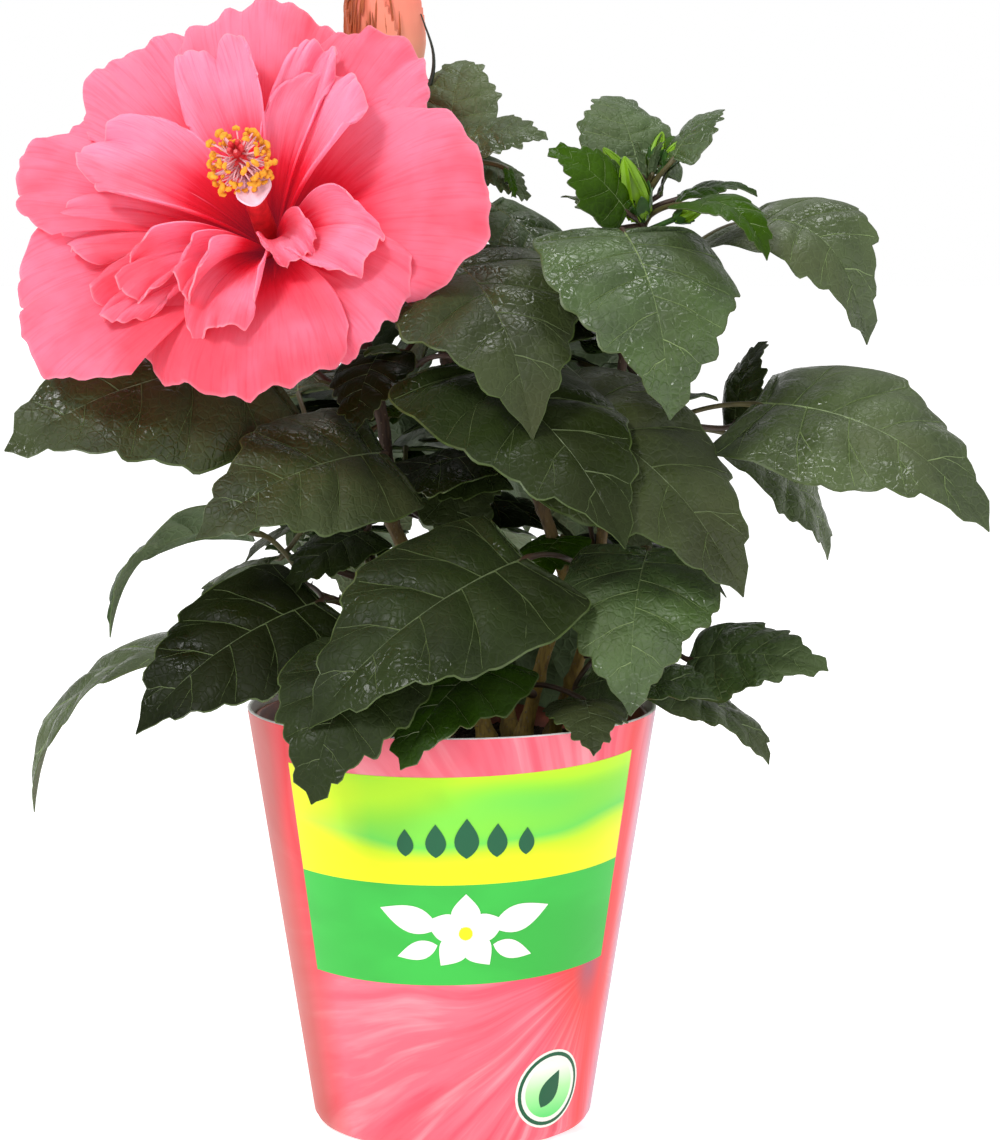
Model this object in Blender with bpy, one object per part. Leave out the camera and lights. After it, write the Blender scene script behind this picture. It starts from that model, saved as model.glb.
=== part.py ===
"""A hibiscus shrub in its pot: sleeve, nursery pot, soil, stems, leaf masses and two blooms.

Sizes are in millimetres and become metres where a mesh is made. +Z is up and -Y is the front.
The origin is the centre of the sleeve's flat underside. A compass heading is counted in
degrees from +X towards +Y, so 270 faces the front; a rise or pitch is degrees above level.
"""

import math
import random
from collections import namedtuple

import bmesh
import bpy
import numpy as np
from mathutils.bvhtree import BVHTree

MM = 0.001
GAP = 0.3
SEED = 11
UP = np.array([0.0, 0.0, 1.0])

# Pot: a printed sleeve round a plastic nursery pot filled with soil.
POT_SIDES = 40
SLEEVE_TOP_RADIUS = 65
SLEEVE_FOOT_RADIUS = 44
SLEEVE_HEIGHT = 134
SLEEVE_WALL = 1.2
FOOT_ROUNDING = 3
NURSERY_CLEARANCE = 0.8
NURSERY_WALL = 1.6
NURSERY_DROP = 3
FLOOR_THICKNESS = 2
FLOOR_INSET = 1
SOIL_TOP = 118
SOIL_CLEARANCE = 1

# Stems: foot to tip, with the radius at both ends. The foot flares out at soil level.
STEM_SIDES = 7
STEM_STEP = 11
CURVE_STEPS = 6
FLARE_HEIGHT = 10
FLARE_GROWTH = 0.5
FOOT = SOIL_TOP + GAP
STEMS = {
    "left_stem": ([(12, 7, FOOT), (2, 9, 150), (-20, 10, 193), (-21, 10, 217), (-29, 12, 252)], 2.5, 1.9),
    "mid_stem": ([(22, 14, FOOT), (31, 12, 153), (36, 12, 172), (20, 14, 215), (-2, 14, 243),
                  (-9, 21, 280), (-17, 31, 299)], 2.2, 1.6),
    "right_stem": ([(31, 19, FOOT), (42, 12, 150), (46, 10, 169), (52, 12, 225), (60, 10, 281)], 2.0, 1.3),
    "back_stem": ([(19, 27, FOOT), (14, 40, 158), (10, 50, 200), (12, 56, 244)], 2.2, 1.5),
}

# Twigs and petioles.
TWIG_SIDES = 5
TWIG_RADIUS = 1.5
TWIG_TAPER = 0.75
PETIOLE_SIDES = 3
PETIOLE_RADIUS = 1.0
PETIOLE_BOW = 0.06
SUNK_SHARE = 0.06

# Leaf blade: a thin lens that is thickest along its midrib, with a toothed edge.
BLADE_STATIONS = (0.04, 0.13, 0.28, 0.4, 0.53, 0.65, 0.78, 0.9)
FIRST_TOOTH = 2
TOOTH = 0.07
THICKNESS_SHARE = 0.02
LEAST_THICKNESS = 1.2
WIDEST_AT = 0.3
BASE_ROUNDING = 0.5
LOBE = 0.2
LOBE_SPAN = 0.4
VEIN_SWEEP = 1.6
CURL = 0.25
LEAF_CLEARANCE = 0.8

# A leaf that touches its neighbours swings about its petiole until it is clear.
SWING_STEP = 4
SWING_RINGS = 6
SWING_DIRECTIONS = 8
STALK = " stalk"
BLADE = " blade"

Shape = namedtuple("Shape", "points faces")
Leaf = namedtuple(
    "Leaf",
    "share heading rise reach turn pitch length roll arch fold width",
    defaults=(0, 0.1, 4, 0.7),
)
Twig = namedtuple("Twig", "stem height tip")
Spray = namedtuple("Spray", "stem height heading rise length leaves blade")
Petal = namedtuple("Petal", "angle spread length rim reflex twist waves ruffle")
Place = namedtuple("Place", "base along up across")

# Foliage shown one by one: each mass has a twig from a stem at a height, and its leaves.
TWIGS = {
    "left_high_leaves": Twig("left_stem", 222, (-45, 14, 240)),
    "left_mid_leaves": Twig("left_stem", 200, (-42, -4, 212)),
    "left_low_leaves": Twig("left_stem", 152, (-50, 0, 172)),
    "cross_leaves": Twig("left_stem", 240, (-10, 2, 242)),
    "low_front_leaves": Twig("mid_stem", 134, (20, -14, 142)),
    "centre_leaves": Twig("mid_stem", 214, (22, -2, 222)),
    "upper_centre_leaves": Twig("mid_stem", 246, (2, -2, 256)),
    "top_left_leaves": Twig("mid_stem", 292, (-4, 16, 304)),
    "front_leaves": Twig("right_stem", 169, (46, -2, 174)),
    "right_low_leaves": Twig("right_stem", 146, (62, 6, 155)),
    "right_mid_leaves": Twig("right_stem", 214, (68, 8, 222)),
    "right_high_leaves": Twig("right_stem", 258, (66, 0, 267)),
    "crown_leaves": Twig("right_stem", 281, (62, 10, 298)),
}
LEAVES = {
    "left_high_leaves": [
        Leaf(1.0, 225, 10, 20, 205, -15, 88, -50, 0.1, 4, 0.76),
    ],
    "left_mid_leaves": [
        Leaf(0.1, 286, 33, 23, 214, -15, 71, -45, 0.12),
        Leaf(0.5, 167, -50, 35, 147, -28, 35),
        Leaf(0.2, 276, -44, 19, 215, -29, 34, -20),
    ],
    "left_low_leaves": [
        Leaf(0.9, 220, 45, 28, 208, -27, 58, 25, 0.22, 20, 0.75),
        Leaf(1.0, 291, -3, 28, 213, -24, 73, -35, 0.12),
        Leaf(0.7, 150, -20, 49, 191, -38, 81, 0, 0.2, 14, 0.6),
        Leaf(0.15, 258, 2, 60, 235, -49, 53, -20, 0.15, 4, 0.85),
    ],
    "cross_leaves": [
        Leaf(0.3, 255, 30, 11, 246, -49, 30, 0, 0.1, 4, 0.85),
        Leaf(1.0, 305, 5, 27, 315, -34, 86, 15, 0.07, 6, 0.76),
    ],
    "low_front_leaves": [
        Leaf(1.0, 250, 26, 25, 238, -27, 54, -10),
        Leaf(0.6, 300, 3, 38, 273, -14, 37),
    ],
    "centre_leaves": [
        Leaf(0.2, 208, -14, 15, 196, -22, 40, -15, 0.1, 4, 0.8),
        Leaf(0.1, 229, -45, 11, 189, -16, 33, -25),
        Leaf(1.0, 288, 31, 21, 333, -37, 90, 30, 0.12, 4, 0.74),
    ],
    "upper_centre_leaves": [
        Leaf(0.9, 232, 75, 22, 300, -39, 79, 10, 0.14, 8, 0.84),
        Leaf(0.4, 54, 62, 46, 337, -44, 43, 20),
        Leaf(0.1, 340, 80, 23, 186, -47, 28, -30),
    ],
    "top_left_leaves": [
        Leaf(0.4, 351, 60, 16, 74, 50, 36, 0, 0.1, 4, 0.85),
        Leaf(0.9, 313, 37, 15, 343, 3, 28, 40),
        Leaf(0.1, 335, 27, 24, 344, -32, 21, 30),
    ],
    "front_leaves": [
        Leaf(0.2, 244, 16, 54, 212, -31, 87, -35, 0.12, 6, 0.7),
        Leaf(1.0, 308, 26, 28, 259, -46, 61, 0, 0.16, 6, 0.84),
    ],
    "right_low_leaves": [
        Leaf(1.0, 321, -20, 18, 334, 0, 46, 40),
        Leaf(0.7, 324, -50, 15, 325, -27, 47),
        Leaf(0.3, 244, -21, 26, 326, 4, 50, 25),
    ],
    "right_mid_leaves": [
        Leaf(1.0, 340, 15, 30, 338, -22, 85, 30, 0.14, 6, 0.74),
        Leaf(0.8, 24, 2, 28, 32, 68, 29),
        Leaf(0.5, 20, -4, 36, 352, -53, 47, 20),
    ],
    "right_high_leaves": [
        Leaf(0.8, 230, 47, 26, 285, -50, 70, 0, 0.16, 4, 0.88),
        Leaf(0.1, 24, 35, 43, 327, -36, 59, 25, 0.32, 14, 0.8),
    ],
    "crown_leaves": [
        Leaf(0.6, 105, 60, 12, 111, 41, 40, 0, 0.08, 4, 0.85),
        Leaf(0.8, 322, 49, 15, 32, 42, 25, 0, 0.08, 4, 0.85),
        Leaf(0.2, 244, 22, 13, 192, 41, 32, -60),
        Leaf(0.3, 307, 15, 23, 322, -28, 33, 10, 0.22, 14),
        Leaf(0.2, 167, 0, 9, 154, 30, 21),
    ],
}

# Foliage by rule: a spray forks from the back stem, and its leaves turn round it as they climb.
SPRAYS = {
    "back_low_leaves": Spray("back_stem", 150, 100, 10, 20, 6, 72),
    "back_left_leaves": Spray("back_stem", 182, 165, 15, 30, 9, 72),
    "back_right_leaves": Spray("back_stem", 206, 20, 15, 30, 9, 72),
    "back_high_leaves": Spray("back_stem", 243, 90, 50, 16, 7, 66),
    "behind_bloom_leaves": Spray("left_stem", 206, 135, 15, 30, 6, 70),
    "behind_crown_leaves": Spray("right_stem", 226, 65, 15, 26, 6, 64),
    "left_back_leaves": Spray("left_stem", 168, 150, 5, 26, 6, 68),
}
FORK_TURN = (40, 65)
FORK_SHARE = (0.45, 0.7)
FORK_LIFT = (0, 25)
FORK_LENGTH = 0.6
GOLDEN_TURN = 137.5
FAN = 250
TRIES = 7
STALK_RISE = (0, 50)
STALK_REACH = (12, 34)
LEAF_TURN = (-20, 20)
LEAF_PITCH = (-50, -10)
LEAF_SIZE = (0.7, 1.0)
LEAF_ARCH = (0.08, 0.18)
CROWN_CENTRE = (12, 30, 200)
CROWN_REACH = (86, 95, 78)

# The large double bloom: its throat, the way it faces, and its petals round that axis.
BLOOM_THROAT = (-56, -10, 281)
BLOOM_HEADING = 260
BLOOM_RISE = 34
THROAT_DEPTH = 8
CORE_LENGTH = 10
CORE_RADIUS = 6.5
COLUMN_LENGTH = 56
COLUMN_RADIUS = 2.6
ANTHER_RADIUS = 7.5
ANTHER_LENGTH = 13
PETAL_START = 0.05
PETAL_SHOULDER = 0.16
PETAL_THICKNESS = 1.7
OUTER_PETALS = [
    Petal(97, 24, 80, 15, 6, 0, 2.2, 3.5),
    Petal(65, 22, 75, 13, 6, 0, 2.6, 3.0),
    Petal(12, 40, 70, 13, 6, 0, 2.4, 2.5),
    Petal(-90, 40, 63, 14, 8, 0, 3.2, 3.5),
    Petal(-149, 30, 81, 14, 6, 0, 2.8, 3.0),
    Petal(166, 22, 80, 16, 6, 0, 2.4, 3.0),
    Petal(131, 24, 80, 15, 6, 0, 2.2, 2.5),
]
INNER_PETALS = [
    Petal(160, 22, 60, 27, 4, 12, 2.0, 3.0),
    Petal(-172, 20, 60, 18, 4, 0, 2.0, 2.5),
    Petal(114, 17, 62, 27, 4, -12, 1.6, 3.0),
    Petal(60, 28, 50, 28, 3, -14, 1.8, 3.0),
    Petal(82, 12, 46, 24, 3, 0, 1.6, 3.0),
    Petal(-30, 34, 41, 22, 3, 0, 2.4, 3.0),
    Petal(-45, 26, 29, 27, 3, 0, 1.8, 2.5),
    Petal(-106, 22, 47, 24, 3, 10, 1.8, 3.0),
    Petal(-130, 15, 43, 30, 2, -12, 1.6, 3.0),
    Petal(-149, 15, 57, 20, 3, 0, 1.8, 3.0),
]
OUTER_GRID = (4, 6)
INNER_GRID = (3, 4)

# The furled bloom at the top of the middle stem, as rings from its base to its closed tip.
FURLED_BASE = (-21, 37, 322)
FURLED_TIP = (-23, 38, 375)
FURLED_RADII = (5.5, 9.5, 12, 13, 13, 12.5, 11, 8, 4)
FURLED_SIDES = 10

# Green cups behind the blooms: each one on a stalk, ending flat against its bloom.
STALK_RADIUS = 1.5
STALK_STEPS = 6
CUP_LENGTH = 15
CUP_RADIUS = 6.5
CUP_SIDES = 8

# Flower buds at the right stem's top: where each stands, its way up and its size.
BUD_SIDES = 6
Bud = namedtuple("Bud", "share heading rise stalk length radius")
BUDS = [
    Bud(0.2, 270, 45, 5, 18, 4.8),
    Bud(1.0, 40, 70, 8, 8, 2.2),
    Bud(0.8, 350, 58, 12, 7, 2.0),
    Bud(0.7, 190, 50, 12, 8, 2.0),
]

COLOURS = {
    "sleeve": (0.85, 0.25, 0.45),
    "nursery": (0.30, 0.09, 0.05),
    "soil": (0.035, 0.022, 0.015),
    "bark": (0.10, 0.06, 0.03),
    "leaf": (0.05, 0.13, 0.03),
    "petal": (0.90, 0.22, 0.28),
    "furled": (0.80, 0.30, 0.14),
    "green": (0.16, 0.30, 0.06),
}
ROUGHNESS = {"sleeve": 0.35, "nursery": 0.5, "soil": 0.95, "bark": 0.7, "leaf": 0.35,
             "petal": 0.5, "furled": 0.6, "green": 0.45}


# Vectors and paths

def unit(vector):
    return vector / np.linalg.norm(vector)


def towards(heading, rise):
    """The unit vector along a compass heading and a rise, both in degrees."""
    turn, slope = math.radians(heading), math.radians(rise)
    level = math.cos(slope)
    return np.array([level * math.cos(turn), level * math.sin(turn), math.sin(slope)])


def smooth_path(corners, steps):
    """A Catmull-Rom curve through the corners, with so many steps between two of them."""
    knots = [np.array(corner, float) for corner in corners]
    knots = [2 * knots[0] - knots[1]] + knots + [2 * knots[-1] - knots[-2]]
    path = []
    for before, start, end, after in zip(knots, knots[1:], knots[2:], knots[3:]):
        for step in range(steps):
            t = step / steps
            bend = (2 * before - 5 * start + 4 * end - after) * t**2
            turn = (3 * start - before - 3 * end + after) * t**3
            path.append(start + ((end - before) * t + bend + turn) / 2)
    path.append(knots[-2])
    return path


def bent_path(start, way, end, end_way, steps):
    """A curve that leaves the start one way and comes into the end another."""
    reach = np.linalg.norm(end - start)
    path = []
    for step in range(steps + 1):
        t = step / steps
        path.append((2 * t**3 - 3 * t**2 + 1) * start + (t**3 - 2 * t**2 + t) * reach * way
                    + (3 * t**2 - 2 * t**3) * end + (t**3 - t**2) * reach * end_way)
    return path


def evenly(path, step):
    """The same path with its points about a step apart."""
    path = np.array(path)
    lengths = np.linalg.norm(np.diff(path, axis=0), axis=1)
    along = np.concatenate([[0], np.cumsum(lengths)])
    marks = np.linspace(0, along[-1], max(3, round(along[-1] / step) + 1))
    return np.stack([np.interp(marks, along, path[:, axis]) for axis in range(3)], axis=1)


# Closed shapes

def tube(path, radii, sides, level_foot=False):
    """A round limb along a path, with flat ends; a level foot is cut along the ground."""
    path = np.array(path, float)
    tangents = np.gradient(path, axis=0)
    guide = unit(np.cross(tangents[0], (0.31, 0.17, 0.93)))
    points = []
    for centre, tangent, radius in zip(path, tangents, radii):
        tangent = unit(tangent)
        guide = unit(guide - tangent * (guide @ tangent))
        side = np.cross(tangent, guide)
        for corner in range(sides):
            angle = 2 * math.pi * corner / sides
            points.append(centre + radius * (math.cos(angle) * guide + math.sin(angle) * side))
    if level_foot:
        slope = unit(tangents[0])
        for corner in range(sides):
            points[corner] = points[corner] - slope * ((points[corner][2] - path[0][2]) / slope[2])
    return Shape(points, ring_faces(len(path), sides))


def ring_faces(rings, sides):
    faces = [tuple(range(sides)), tuple(range((rings - 1) * sides, rings * sides))]
    for ring in range(rings - 1):
        for corner in range(sides):
            beside = (corner + 1) % sides
            low, high = ring * sides, (ring + 1) * sides
            faces.append((low + corner, low + beside, high + beside, high + corner))
    return faces


def turned(profile, sides):
    """A profile of (radius, height) turned round +Z; its two ends lie on the axis."""
    points = [np.array([0, 0, profile[0][1]]), np.array([0, 0, profile[-1][1]])]
    for radius, height in profile[1:-1]:
        for corner in range(sides):
            angle = 2 * math.pi * corner / sides
            points.append(np.array([radius * math.cos(angle), radius * math.sin(angle), height]))
    rings = len(profile) - 2
    faces = []
    for corner in range(sides):
        beside = (corner + 1) % sides
        faces.append((0, 2 + corner, 2 + beside))
        last = 2 + (rings - 1) * sides
        faces.append((1, last + corner, last + beside))
        for ring in range(rings - 1):
            low, high = 2 + ring * sides, 2 + (ring + 1) * sides
            faces.append((low + corner, low + beside, high + beside, high + corner))
    return Shape(points, faces)


def sheet(grid, thickness):
    """A thin shape round a grid of points: thick inside, closed to an edge all round."""
    grid = np.array(grid, float)
    rows, columns = grid.shape[:2]
    across = np.gradient(grid, axis=1)
    along = np.gradient(grid, axis=0)
    normals = np.cross(along, across)
    normals /= np.linalg.norm(normals, axis=2, keepdims=True)
    points, index = [], np.zeros((2, rows, columns), int)
    for row in range(rows):
        for column in range(columns):
            edge = row in (0, rows - 1) or column in (0, columns - 1)
            index[:, row, column] = len(points)
            if edge:
                points.append(grid[row, column])
                continue
            index[1, row, column] += 1
            for way in (-0.5, 0.5):
                points.append(grid[row, column] + way * thickness * normals[row, column])
    faces = []
    for face in index:
        for row in range(rows - 1):
            for column in range(columns - 1):
                corners = (face[row, column], face[row, column + 1],
                           face[row + 1, column + 1], face[row + 1, column])
                faces.append(tuple(int(corner) for corner in corners))
    return Shape(points, faces)


# Leaves

def place_leaf(leaf, start, swing=(0, 0)):
    """Where a blade begins and how it lies; a swing turns it by some degrees."""
    base = start + towards(leaf.heading, leaf.rise) * leaf.reach
    along = towards(leaf.turn + swing[0], leaf.pitch + swing[1])
    level = unit(np.cross(along, UP))
    face = unit(np.cross(level, along))
    roll = math.radians(leaf.roll)
    up = face * math.cos(roll) + np.cross(along, face) * math.sin(roll)
    return Place(base, along, up, np.cross(along, up))


def blade_point(leaf, place, x, side):
    """A point of the blade at a share x of its length and a share of its half width."""
    half = leaf.length * leaf.width / 2
    fold = math.radians(leaf.fold)
    bow = leaf.arch * leaf.length * 4 * x * (1 - x)
    lift = half * (math.sin(fold) * abs(side) - CURL * side**2)
    flat = place.along * (x * leaf.length) + place.across * (half * math.cos(fold) * side)
    return place.base + flat + place.up * (bow + lift)


def half_width(u):
    """The outline's half width along the blade, 1 where it is widest."""
    narrowing = BASE_ROUNDING * (1 - WIDEST_AT) / WIDEST_AT
    return (u / WIDEST_AT) ** BASE_ROUNDING * ((1 - u) / (1 - WIDEST_AT)) ** narrowing


def blade(leaf, place, thickness):
    """The toothed blade, its two faces joined along the edge."""
    points = [blade_point(leaf, place, 0, 0), blade_point(leaf, place, 1, 0)]
    for station, u in enumerate(BLADE_STATIONS):
        rib = blade_point(leaf, place, u**VEIN_SWEEP, 0)
        points += [rib + place.up * (thickness / 2), rib - place.up * (thickness / 2)]
        tooth = 0 if station < FIRST_TOOTH else TOOTH * (-1) ** station
        x = u - LOBE * math.sin(math.pi * min(u / LOBE_SPAN, 1))
        for side in (-1, 1):
            points.append(blade_point(leaf, place, x, side * half_width(u) * (1 + tooth)))
    faces = []
    last = len(BLADE_STATIONS) - 1
    for face in (0, 1):
        for edge in (2, 3):
            faces.append((0, 2 + face, 2 + edge))
            faces.append((1, 2 + 4 * last + face, 2 + 4 * last + edge))
            for station in range(last):
                here, there = 2 + 4 * station, 6 + 4 * station
                faces.append((here + face, there + face, there + edge))
                faces.append((here + face, there + edge, here + edge))
    return Shape(points, faces)


def blade_thickness(leaf):
    return max(LEAST_THICKNESS, THICKNESS_SHARE * leaf.length)


def petiole(leaf, place, start, radius=PETIOLE_RADIUS, first=0):
    """The leaf's stalk, from inside its twig to well inside the blade."""
    sunk = blade_point(leaf, place, SUNK_SHARE, 0)
    bow = UP * (PETIOLE_BOW * np.linalg.norm(sunk - start))
    path = [start, (start + sunk) / 2 + bow, sunk][first:]
    return tube(path, [radius] * len(path), PETIOLE_SIDES)


def tree_of(shape):
    return BVHTree.FromPolygons([tuple(point) for point in shape.points], shape.faces)


def is_clear(shape, taken, joined):
    """Whether a shape touches nothing that is taken, but for what it may join."""
    trial = tree_of(shape)
    return not any(trial.overlap(tree) for kept, tree in taken if kept not in joined)


def is_free(leaf, place, start, owner, taken):
    """Whether a leaf is clear of all else; its stalk's root may meet its own mass."""
    thickness = blade_thickness(leaf) + 2 * LEAF_CLEARANCE
    radius = PETIOLE_RADIUS + GAP
    own_mass = (owner, owner + STALK, owner + BLADE)
    return (is_clear(blade(leaf, place, thickness), taken, (owner,))
            and is_clear(petiole(leaf, place, start, radius), taken, own_mass)
            and is_clear(petiole(leaf, place, start, radius, 1), taken, (owner,)))


def settled(leaf, start, owner, taken):
    """The leaf's place, swung until it touches nothing, or None where it can't be."""
    swings = [(0, 0)]
    for ring in range(1, SWING_RINGS + 1):
        for way in range(SWING_DIRECTIONS):
            angle = 2 * math.pi * way / SWING_DIRECTIONS
            size = ring * SWING_STEP
            swings.append((size * math.sin(angle), size * math.cos(angle)))
    for swing in swings:
        place = place_leaf(leaf, start, swing)
        if in_crown(owner, blade_point(leaf, place, 1, 0)) and is_free(leaf, place, start, owner, taken):
            return place
    return None


def grow_leaves(name, leaves, most, twig_path, taken):
    """The leaves of one twig as closed shapes, each one clear of what is there before it."""
    shapes = []
    for leaf in leaves:
        start = point_at(twig_path, leaf.share)
        place = settled(leaf, start, name, taken)
        if place is None or len(shapes) >= 2 * most:
            continue
        stalk = petiole(leaf, place, start)
        leaf_blade = blade(leaf, place, blade_thickness(leaf))
        shapes += [stalk, leaf_blade]
        taken.append((name + STALK, tree_of(stalk)))
        taken.append((name + BLADE, tree_of(leaf_blade)))
    return shapes


def in_crown(name, tip):
    """A leaf grown by rule has its tip within the crown's rounded back."""
    away = (tip - np.array(CROWN_CENTRE)) / np.array(CROWN_REACH)
    return name not in SPRAYS or away @ away < 1


# Twigs

def point_at(path, share):
    """The point at a share of a path's length."""
    path = np.array(path)
    along = np.concatenate([[0], np.cumsum(np.linalg.norm(np.diff(path, axis=0), axis=1))])
    return np.array([np.interp(share * along[-1], along, path[:, axis]) for axis in range(3)])


def stem_point(stem, height):
    """The centre and the radius of a stem at a height."""
    path, radii = stem
    centre = np.array([np.interp(height, path[:, 2], path[:, axis]) for axis in range(3)])
    return centre, np.interp(height, path[:, 2], radii)


def twig_path(stem, height, tip):
    """A twig's line: it begins just clear of its stem's bark."""
    centre, radius = stem_point(stem, height)
    tip = np.array(tip, float)
    way = unit(tip - centre)
    path = stem[0]
    slope = unit(np.array([np.interp(height, path[:, 2], np.gradient(path, axis=0)[:, axis])
                           for axis in range(3)]))
    lean = abs(way @ slope)
    out = (radius + GAP + TWIG_RADIUS * lean) / math.sqrt(1 - min(lean, 0.9) ** 2)
    if height >= path[-1, 2]:
        out = GAP + TWIG_RADIUS * math.sqrt(1 - lean**2)
    return np.array([centre + way * out, (centre + way * out + tip) / 2, tip])


def twig_shape(path, radius=TWIG_RADIUS):
    radii = np.linspace(radius, radius * TWIG_TAPER, len(path))
    return tube(path, radii, TWIG_SIDES)


def spray_paths(spray, stem, rng):
    """The spray's own stem and two side twigs that fork from it."""
    centre, _ = stem_point(stem, spray.height)
    tip = centre + towards(spray.heading, spray.rise) * spray.length
    paths = [twig_path(stem, spray.height, tip)]
    for way in (-1, 1):
        turn = spray.heading + way * rng.uniform(*FORK_TURN)
        root = point_at(paths[0], rng.uniform(*FORK_SHARE))
        rise = spray.rise + rng.uniform(*FORK_LIFT)
        end = root + towards(turn, rise) * spray.length * FORK_LENGTH
        paths.append(np.array([root, (root + end) / 2, end]))
    return paths


def spray_leaves(spray, rng):
    """Leaves dealt round a spray: each turns on from the last, and hangs a little."""
    leaves = []
    for number in range(spray.leaves * TRIES):
        turn = (number * GOLDEN_TURN) % FAN - FAN / 2 + spray.heading
        leaves.append(Leaf(
            share=rng.uniform(0.3, 1),
            heading=turn,
            rise=rng.uniform(*STALK_RISE),
            reach=rng.uniform(*STALK_REACH),
            turn=turn + rng.uniform(*LEAF_TURN),
            pitch=rng.uniform(*LEAF_PITCH),
            length=spray.blade * rng.uniform(*LEAF_SIZE),
            roll=rng.uniform(*LEAF_TURN),
            arch=rng.uniform(*LEAF_ARCH),
        ))
    return leaves


# Blooms

def petal_grid(petal, throat, axis, right, above, rows, columns):
    """Points of a petal from the throat to its rim, a fan that opens and bends back."""
    deepest = petal.rim + petal.reflex + THROAT_DEPTH
    grid = []
    for row in range(rows + 1):
        t = PETAL_START + (1 - PETAL_START) * row / rows
        line = []
        for column in range(columns + 1):
            across = 2 * column / columns - 1
            angle = math.radians(petal.angle + petal.spread * across)
            reach = petal.length * t * (1 - PETAL_SHOULDER * abs(across) ** 3)
            rise = deepest * (1 - (1 - t) ** 2) - THROAT_DEPTH - petal.reflex * t**3
            rise += petal.length * t * math.sin(math.radians(petal.twist)) * across / 2
            rise += petal.ruffle * t**3 * math.sin(petal.waves * math.pi * across + petal.angle)
            out = right * math.cos(angle) + above * math.sin(angle)
            line.append(throat + out * reach + axis * rise)
        grid.append(line)
    return grid


def bloom_frame():
    """The bloom's throat, the way it faces, and its right and upward directions."""
    axis = towards(BLOOM_HEADING, BLOOM_RISE)
    right = unit(np.cross(UP, axis))
    return np.array(BLOOM_THROAT, float), axis, right, np.cross(axis, right)


def bloom_shapes():
    """The petals, the core that holds them and the column with its anthers."""
    throat, axis, right, above = bloom_frame()
    back = throat - axis * (THROAT_DEPTH + CORE_LENGTH / 2)
    core = tube([back, back + axis * CORE_LENGTH], [CORE_RADIUS - 1, CORE_RADIUS], CUP_SIDES)
    shapes = [core]
    for petals, grid in ((OUTER_PETALS, OUTER_GRID), (INNER_PETALS, INNER_GRID)):
        for petal in petals:
            surface = petal_grid(petal, throat, axis, right, above, *grid)
            shapes.append(sheet(surface, PETAL_THICKNESS))
    head = throat + axis * COLUMN_LENGTH
    shoulder = head - axis * ANTHER_LENGTH
    stages = [(back, 1), (shoulder, 0.8), (shoulder + axis * 3, ANTHER_RADIUS / COLUMN_RADIUS),
              (head - axis * 2, ANTHER_RADIUS / COLUMN_RADIUS), (head, 1)]
    shapes.append(tube([centre for centre, _ in stages],
                       [COLUMN_RADIUS * size for _, size in stages], CUP_SIDES))
    return shapes


def cup_shape(root, way, face, axis):
    """A stalk from a stem's tip that widens into a green cup ending flat at a face."""
    neck = face - axis * CUP_LENGTH
    path = bent_path(root, way, neck, axis, STALK_STEPS)
    radii = [STALK_RADIUS] * STALK_STEPS + [STALK_RADIUS * 1.3]
    path += [face - axis * CUP_LENGTH * 0.7, face - axis * CUP_LENGTH * 0.35, face]
    radii += [CUP_RADIUS * 0.75, CUP_RADIUS, CUP_RADIUS * 0.9]
    return tube(path, radii, CUP_SIDES)


def bud_shapes(bud, start):
    """A bud on its own short stalk, pointed at both ends."""
    way = towards(bud.heading, bud.rise)
    foot = start + way * bud.stalk
    path = [start, foot, foot + way * bud.length * 0.35, foot + way * bud.length * 0.7,
            foot + way * bud.length]
    radii = [0.9, 1.1, bud.radius, bud.radius * 0.8, 0.5]
    return tube(path, radii, BUD_SIDES)


# Objects

def clear_scene():
    for thing in list(bpy.data.objects):
        bpy.data.objects.remove(thing, do_unlink=True)


def material(kind):
    """The shared material of a kind, made once."""
    if kind in bpy.data.materials:
        return bpy.data.materials[kind]
    made = bpy.data.materials.new(kind)
    made.use_nodes = True
    shader = made.node_tree.nodes["Principled BSDF"]
    shader.inputs["Base Color"].default_value = (*COLOURS[kind], 1)
    shader.inputs["Roughness"].default_value = ROUGHNESS[kind]
    shader.inputs["Metallic"].default_value = 0
    return made


def add_object(name, shape, kind, crease=40):
    """A mesh object of a closed shape, its faces turned outwards."""
    form = bmesh.new()
    corners = [form.verts.new(np.array(point, float) * MM) for point in shape.points]
    for face in shape.faces:
        form.faces.new([corners[corner] for corner in face])
    bmesh.ops.recalc_face_normals(form, faces=form.faces)
    if form.calc_volume(signed=True) < 0:
        bmesh.ops.reverse_faces(form, faces=form.faces)
    mesh = bpy.data.meshes.new(name)
    form.to_mesh(mesh)
    form.free()
    mesh.shade_smooth()
    mesh.set_sharp_from_angle(angle=math.radians(crease))
    mesh.materials.append(material(kind))
    made = bpy.data.objects.new(name, mesh)
    bpy.context.scene.collection.objects.link(made)
    return made


def add_fused(name, shapes, kind):
    """One object from several closed shapes, joined by one Boolean union."""
    body = add_object(name, shapes[0], kind)
    group = bpy.data.collections.new(name + "_pieces")
    bpy.context.scene.collection.children.link(group)
    for number, shape in enumerate(shapes[1:]):
        piece = add_object(f"{name}_piece_{number}", shape, kind)
        bpy.context.scene.collection.objects.unlink(piece)
        group.objects.link(piece)
    union = body.modifiers.new("Join", "BOOLEAN")
    union.operation = "UNION"
    union.operand_type = "COLLECTION"
    union.collection = group
    union.solver = "MANIFOLD"
    fused = bpy.data.meshes.new_from_object(body.evaluated_get(bpy.context.evaluated_depsgraph_get()))
    body.modifiers.clear()
    body.data = fused
    for piece in list(group.objects):
        bpy.data.objects.remove(piece, do_unlink=True)
    bpy.data.collections.remove(group)
    return body


def sleeve_radius(height):
    share = height / SLEEVE_HEIGHT
    return SLEEVE_FOOT_RADIUS + (SLEEVE_TOP_RADIUS - SLEEVE_FOOT_RADIUS) * share


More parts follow.
